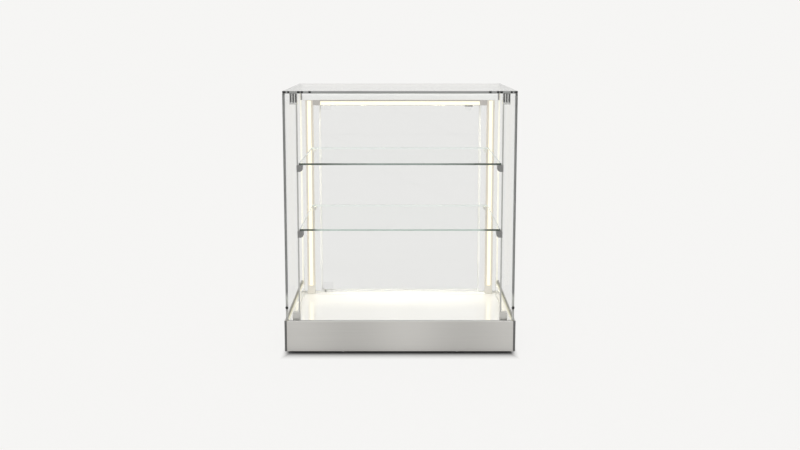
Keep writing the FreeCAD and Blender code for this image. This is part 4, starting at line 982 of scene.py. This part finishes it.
class DISPLAYCASE_OT_light_bars(bpy.types.Operator):
    """Light channels with lit opal strips, end caps and end blocks"""
    bl_idname = "display_case.light_bars"
    bl_label = "Light bars"

    def execute(self, context):
        sizes = context.scene.case_sizes
        fine = sizes.fine_edge
        _, board_high = node_box("led_boards")
        back = board_high[Y]
        low, high = node_box("led_channel_right")
        opal_low, opal_high = node_box("led_diffuser_right")
        slot_back = high[Y] - sizes.channel_slot_back
        slot_front = slot_back - sizes.channel_slot
        slot_end = low[X] + sizes.channel_slot_depth
        corners = [
            (low[X], low[Y]), (opal_low[X] - fine / 2, low[Y]), (opal_low[X] - fine / 2, back),
            (opal_high[X] + fine / 2, back), (opal_high[X] + fine / 2, low[Y]), (high[X], low[Y]),
            (high[X], high[Y]), (low[X], high[Y]), (low[X], slot_back), (slot_end, slot_back),
            (slot_end, slot_front), (low[X], slot_front),
        ]
        channel = prism(Z, corners, fine, (low[Z], high[Z]), fine / 4)
        crown = [sizes.opal_crown, sizes.opal_crown, fine / 2, fine / 2]
        opal = slab(opal_low, opal_high, Z, crown, fine / 4)
        add_pair("light_channel", channel, "lamp_warmed_aluminium", "led_channel")
        add_pair("opal_strip", opal, "lit_opal", "led_diffuser")
        self.make_level_bar(sizes, back)
        self.make_ends(sizes, low, high)
        dress("board_white", "led_boards")
        dress("chip_yellow", "led_chips")
        return {"FINISHED"}

    def make_level_bar(self, sizes, back):
        """The bar under the header: a channel open to the front and its opal strip."""
        fine = sizes.fine_edge
        low, high = node_box("led_channel_upper")
        opal_low, opal_high = node_box("led_diffuser_upper")
        floor = opal_low[Z] - fine / 2
        roof = opal_high[Z] + fine / 2
        corners = [
            (low[Y], low[Z]), (high[Y], low[Z]), (high[Y], high[Z]), (low[Y], high[Z]),
            (low[Y], roof), (back, roof), (back, floor), (low[Y], floor),
        ]
        channel = prism(X, corners, fine / 2, (low[X], high[X]), fine / 4)
        add_piece("level_light_channel", channel, "shaded_lamp_warmed_aluminium", "led_channel_upper")
        crown = [sizes.opal_crown, fine / 2, fine / 2, sizes.opal_crown]
        add_slab("level_opal_strip", "lit_opal", "led_diffuser_upper", X, crown, fine / 4)

    def make_ends(self, sizes, low, high):
        """Caps above and below the upright channels, and the blocks at the ends of the level bar."""
        cap_low, cap_high = node_box("channel_end_caps")
        soft = sizes.soft_edge
        lower = slab((low[X], low[Y], cap_low[Z]), (high[X], high[Y], low[Z]), Z, soft, soft)
        upper = slab((low[X], low[Y], high[Z]), (high[X], high[Y], cap_high[Z]), Z, soft, sizes.fine_edge)
        add_piece("channel_caps", both_sides(joined(lower, upper)), "pale_plastic", "channel_end_caps")
        block_low, block_high = node_box("upper_light_end_blocks")
        _, bar_high = node_box("led_channel_upper")
        block_low[X] = bar_high[X]
        block = slab(block_low, block_high, X, soft, sizes.fine_edge)
        add_piece("level_bar_end_blocks", both_sides(block), "grey_plastic", "upper_light_end_blocks")


class DISPLAYCASE_OT_header(bpy.types.Operator):
    """White header with its end caps, and the sill under the door"""
    bl_idname = "display_case.header"
    bl_label = "Header and sill"

    def execute(self, context):
        sizes = context.scene.case_sizes
        soft = sizes.soft_edge
        low, high = node_box("header_rail")
        knee = low[Z] + sizes.header_lip
        corners = [
            (low[Y], low[Z]), (high[Y], low[Z]), (high[Y], high[Z]),
            (low[Y] + sizes.header_slope, high[Z]), (low[Y], knee),
        ]
        header = prism(X, corners, soft, (low[X], high[X]), sizes.fine_edge / 2)
        add_piece("header_coated", header, "white_coat", "header_rail")
        cap = prism(X, corners, soft, (high[X], node_box("header_end_caps")[1][X]), sizes.fine_edge)
        add_piece("header_plugs", both_sides(cap), "cap_plastic", "header_end_caps")
        dress("sill_coat", "sill_rail")
        return {"FINISHED"}


class DISPLAYCASE_OT_clips(bpy.types.Operator):
    """Front and rear clips of the shelves and the knurled screws of the front clips"""
    bl_idname = "display_case.clips"
    bl_label = "Shelf clips"

    knurls: bpy.props.IntProperty(name="Knurls", description="Knurls round a screw head", default=16, min=3)

    def execute(self, context):
        for shelf in ("upper", "lower"):
            self.make_clips(context.scene.case_sizes, shelf)
            self.make_screws(context.scene.case_sizes, shelf)
        return {"FINISHED"}

    def make_clips(self, sizes, shelf):
        """A block with a large lower radius, a lip and a yoke round each post, and a long rear clip."""
        low, high = node_box(f"{shelf}_shelf_clips")
        fine = sizes.fine_edge
        post_low, post_high = node_box("front_post_right")
        lip_back = low[Y] + sizes.clip_lip
        run = post_low[Y] - lip_back
        inner = post_low[X] - run
        start = inner - sizes.clip_block
        yoke_front = post_high[Y] + run
        yoke_back = yoke_front + sizes.clip_yoke
        rounds = [sizes.clip_round, fine, fine, fine]
        block = slab((start, low[Y], low[Z]), (inner, yoke_back, high[Z]), Y, rounds, fine)
        hooks = [
            slab((inner - fine, front, low[Z]), (outside, back, high[Z]), Y, fine, fine)
            for front, back, outside in ((low[Y], lip_back, post_high[X]), (yoke_front, yoke_back, high[X]))
        ]
        channel_low, _ = node_box("led_channel_right")
        far = channel_low[X] - run
        bottom = high[Z] - sizes.rear_clip_height
        rounds = [sizes.rear_clip_round, fine, fine, fine]
        rear_low = (far - sizes.rear_clip_width, high[Y] - sizes.rear_clip_length, bottom)
        rear = slab(rear_low, (far, high[Y], high[Z]), Y, rounds, fine)
        slot_middle = high[Y] - sizes.channel_slot_back - sizes.channel_slot / 2
        half = sizes.rear_tongue / 2
        tongue_low = (far - fine, slot_middle - half, bottom + fine)
        tongue_high = (channel_low[X] + sizes.channel_slot_depth - fine, slot_middle + half, high[Z] - fine)
        tongue = slab(tongue_low, tongue_high, Z, fine / 2, fine / 2)
        clips = both_sides(joined(block, *hooks, rear, tongue))
        add_piece(f"{shelf}_clips", clips, "clip_steel", f"{shelf}_shelf_clips")

    def make_screws(self, sizes, shelf):
        """A knurled thumb head on a plain stem behind each front clip."""
        radius, centre, end = right_round(f"{shelf}_clip_screws")
        neck = end - sizes.thumb_head
        edge = sizes.fine_edge
        profile = [
            (sizes.thumb_stem, 0.0), (sizes.thumb_stem, neck), (radius - sizes.thumb_knurl, neck),
            (radius - sizes.thumb_knurl, end), (radius / 2, end),
        ]
        rounds = [edge / 4, edge / 4, edge, edge, edge / 4]
        screw = turned(Y, centre, profile, rounds, knurl=sizes.thumb_knurl, knurls=self.knurls)
        add_piece(f"{shelf}_thumb_screws", both_sides(screw), "screw_steel", f"{shelf}_clip_screws")


class DISPLAYCASE_OT_door(bpy.types.Operator):
    """Rear door with its pivot shoes, knob, strike and catch"""
    bl_idname = "display_case.door"
    bl_label = "Rear door"

    shoe_height: length("Shoe height", "Height of a shoe", 28.0)
    knob_neck: length("Knob neck", "Length of the neck of the knob", 5.0)
    knob_round: length("Knob round", "Rounding of the knob", 3.0)

    def execute(self, context):
        sizes = context.scene.case_sizes
        door_low, door_high = node_box("rear_door")
        add_slab("rear_door_polished", "acrylic_door", "rear_door", Y, sizes.door_arris, sizes.door_arris)
        self.make_shoes(sizes, door_low, door_high)
        self.make_knob(sizes)
        soft = sizes.soft_edge
        add_slab("strike_plate_pressed", "screw_steel", "strike_plate", Y, soft, sizes.fine_edge)
        add_slab("magnet_catch_case", "black_plastic", "magnet_catch", Y, soft, sizes.fine_edge)
        dress("screw_steel", "door_pivot_pins")
        dress("white_nylon", "pivot_bushes")
        return {"FINISHED"}

    def make_shoes(self, sizes, door_low, door_high):
        """A trough below the door's corner and one above it."""
        low, high = node_box("door_pivot_shoes")
        shoes = []
        for base, floor, tip in (
            (low[Z], door_low[Z], low[Z] + self.shoe_height),
            (high[Z], door_high[Z], high[Z] - self.shoe_height),
        ):
            corners = [
                (low[Y], base), (high[Y], base), (high[Y], tip), (door_high[Y], tip),
                (door_high[Y], floor), (door_low[Y], floor), (door_low[Y], tip), (low[Y], tip),
            ]
            shoes.append(prism(X, corners, sizes.fine_edge, (low[X], high[X]), sizes.fine_edge))
        add_piece("pivot_shoes", joined(*shoes), "acrylic_fitting", "door_pivot_shoes")

    def make_knob(self, sizes):
        """A clear turned knob with a hollowed face on a narrower neck."""
        radius, centre, end = right_round("door_knob")
        edge = sizes.fine_edge
        profile = [
            (radius / 4, 0.0), (radius / 2, 0.0), (radius / 2, self.knob_neck), (radius, self.knob_neck),
            (radius, end), (radius * 0.55, end), (radius * 0.3, end - 2 * edge),
        ]
        rounds = [edge / 8, edge / 2, edge, 2 * edge, self.knob_round, edge, edge]
        add_piece("turned_knob", turned(Y, centre, profile, rounds), "acrylic_fitting", "door_knob")


class DISPLAYCASE_OT_electrics(bpy.types.Operator):
    """Power inlet, switch, driver and leads"""
    bl_idname = "display_case.electrics"
    bl_label = "Electrics"

    bore_radius: length("Bore radius", "Radius of the inlet's bore", 3.2)
    bore_depth: length("Bore depth", "Depth of the inlet's bore", 11.0)
    pin_radius: length("Pin radius", "Radius of the centre pin", 1.0)
    pin_length: length("Pin length", "Length of the centre pin", 9.0)
    barrel_radius: length("Barrel radius", "Radius of the inlet's barrel", 5.5)
    flange: length("Flange", "Thickness of the inlet's flange", 1.5)

    def execute(self, context):
        edge = context.scene.case_sizes.fine_edge
        radius, centre, mouth = right_round("dc_inlet")
        floor = mouth - self.bore_depth
        seat = mouth - self.flange
        profile = [
            (self.barrel_radius, 0.0), (self.barrel_radius, seat), (radius, seat),
            (radius, mouth), (self.bore_radius, mouth), (self.bore_radius, floor),
            (self.pin_radius, floor), (self.pin_radius, floor + self.pin_length),
        ]
        rounds = [edge, edge / 4, edge / 2, edge, edge / 2, edge / 4, edge / 4, edge / 2]
        add_piece("inlet_socket", turned(Y, centre, profile, rounds), "black_plastic", "dc_inlet")
        dress("black_plastic", "switch_housing", "led_driver", "wiring_leads")
        dress("rocker_plastic", "switch_rocker")
        dress("screw_steel", "switch_pin", "inlet_nut")
        return {"FINISHED"}


class DISPLAYCASE_OT_understructure(bpy.types.Operator):
    """Plate, rails, bearer, blocks and screws inside and under the base"""
    bl_idname = "display_case.understructure"
    bl_label = "Understructure"

    def execute(self, context):
        dress("galvanised_sheet", "base_plate")
        dress("mill_aluminium", "setting_rail_left", "setting_rail_right", "setting_rail_front",
              "deck_bearer", "sill_blocks")
        dress("screw_steel", "foot_screws", "base_screws")
        return {"FINISHED"}


class DISPLAYCASE_OT_stage(bpy.types.Operator):
    """Camera, pale floor and even studio light"""
    bl_idname = "display_case.stage"
    bl_label = "Stage"

    def execute(self, context):
        scene = context.scene
        stage = scene.case_stage
        scene.view_settings.view_transform = "Standard"
        lens = bpy.data.cameras.new("photo_camera")
        lens.lens = stage.focal_length
        camera = put("photo_camera", lens)
        camera.location = (0.0, -stage.camera_distance, stage.camera_height)
        camera.rotation_euler = (math.pi / 2 - stage.camera_pitch, 0.0, 0.0)
        scene.camera = camera
        half = stage.floor_size / 2
        mesh = bpy.data.meshes.new("floor")
        corners = [(-half, -half, 0), (half, -half, 0), (half, half, 0), (-half, half, 0)]
        mesh.from_pydata(corners, [], [(0, 1, 2, 3)])
        mesh.materials.append(finishes["stage_floor"])
        floor = put("floor", mesh)
        self.make_sky(scene, stage)
        self.make_key(stage)
        self.make_bar_lights(scene, stage)
        return {"FINISHED"}

    def make_key(self, stage):
        """A broad soft light from the front."""
        key = bpy.data.lights.new("key_light", "SUN")
        key.energy = stage.key_strength
        key.angle = stage.key_width
        lamp = put("key_light", key)
        lamp.rotation_euler = (math.pi / 2 - stage.key_height, 0.0, 0.0)

    def make_bar_lights(self, scene, stage):
        """The light that leaves the opal strips: forwards from the upright ones, down from the level one."""
        for node, power, spread, tilt in (
            ("led_diffuser_left", stage.upright_power, stage.bar_spread, -math.pi / 2),
            ("led_diffuser_right", stage.upright_power, stage.bar_spread, -math.pi / 2),
            ("led_diffuser_upper", stage.level_power, stage.level_spread, 0.0),
            ("led_diffuser_upper", stage.level_fill, stage.bar_spread, 0.0),
        ):
            low, high = node_box(node)
            glow = bpy.data.lights.new(f"{node}_light", "AREA")
            glow.shape = "RECTANGLE"
            glow.color = scene.case_finish.lamp
            glow.energy = power
            glow.spread = spread
            glow.size = high[X] - low[X]
            glow.size_y = high[Z] - low[Z]
            lamp = put(f"{node}_light", glow)
            lamp.location = ((low[X] + high[X]) / 2, low[Y] - stage.bar_gap, (low[Z] + high[Z]) / 2)
            lamp.rotation_euler = (tilt, 0.0, 0.0)
            lamp.visible_camera = False
            lamp.visible_glossy = False
            lamp.visible_transmission = False

    def make_sky(self, scene, stage):
        """Even light from all round; the eye, mirrors and glass see the pale backdrop in its place."""
        world = bpy.data.worlds.new("studio")
        world.use_nodes = True
        scene.world = world
        tree = world.node_tree
        light = next(node for node in tree.nodes if node.type == "BACKGROUND")
        light.inputs["Color"].default_value = (*stage.sky_tint, 1.0)
        light.inputs["Strength"].default_value = stage.sky
        seen = tree.nodes.new("ShaderNodeBackground")
        seen.inputs["Color"].default_value = (*stage.backdrop, 1.0)
        seen.inputs["Strength"].default_value = 1.0
        mix = tree.nodes.new("ShaderNodeMixShader")
        tree.links.new(seen_rays(tree), mix.inputs[0])
        tree.links.new(light.outputs[0], mix.inputs[1])
        tree.links.new(seen.outputs[0], mix.inputs[2])
        output = next(node for node in tree.nodes if node.type == "OUTPUT_WORLD")
        tree.links.new(mix.outputs[0], output.inputs["Surface"])


OPERATORS = (
    DISPLAYCASE_OT_finishes, DISPLAYCASE_OT_panes, DISPLAYCASE_OT_pane_screws, DISPLAYCASE_OT_shelves,
    DISPLAYCASE_OT_fascias, DISPLAYCASE_OT_corners, DISPLAYCASE_OT_feet, DISPLAYCASE_OT_deck,
    DISPLAYCASE_OT_posts, DISPLAYCASE_OT_light_bars, DISPLAYCASE_OT_header, DISPLAYCASE_OT_clips,
    DISPLAYCASE_OT_door, DISPLAYCASE_OT_electrics, DISPLAYCASE_OT_understructure, DISPLAYCASE_OT_stage,
)
GROUPS = (
    ("case_sizes", DisplayCaseSizes), ("case_finish", DisplayCaseFinish), ("case_stage", DisplayCaseStage),
)


class DISPLAYCASE_PT_panel(bpy.types.Panel):
    """Lists the groups of pieces and the values that can be changed"""
    bl_idname = "DISPLAYCASE_PT_panel"
    bl_label = "Display case"
    bl_space_type = "VIEW_3D"
    bl_region_type = "UI"
    bl_category = "Display case"

    def draw(self, context):
        for operator in OPERATORS:
            self.layout.operator(operator.bl_idname)
        for name, group in GROUPS:
            box = self.layout.box()
            for prop in group.__annotations__:
                box.prop(getattr(context.scene, name), prop)


def register():
    """Adds the classes and the scene's groups of values."""
    for name, group in GROUPS:
        bpy.utils.register_class(group)
        setattr(bpy.types.Scene, name, bpy.props.PointerProperty(type=group))
    for item in (*OPERATORS, DISPLAYCASE_PT_panel):
        bpy.utils.register_class(item)


def unregister():
    """Takes the classes and the groups of values away again."""
    for item in (DISPLAYCASE_PT_panel, *reversed(OPERATORS)):
        bpy.utils.unregister_class(item)
    for name, group in reversed(GROUPS):
        delattr(bpy.types.Scene, name)
        bpy.utils.unregister_class(group)


def main():
    """Builds the case in order."""
    register()
    for operator in OPERATORS:
        group, name = operator.bl_idname.split(".")
        getattr(getattr(bpy.ops, group), name)()


if __name__ == "__main__":
    main()
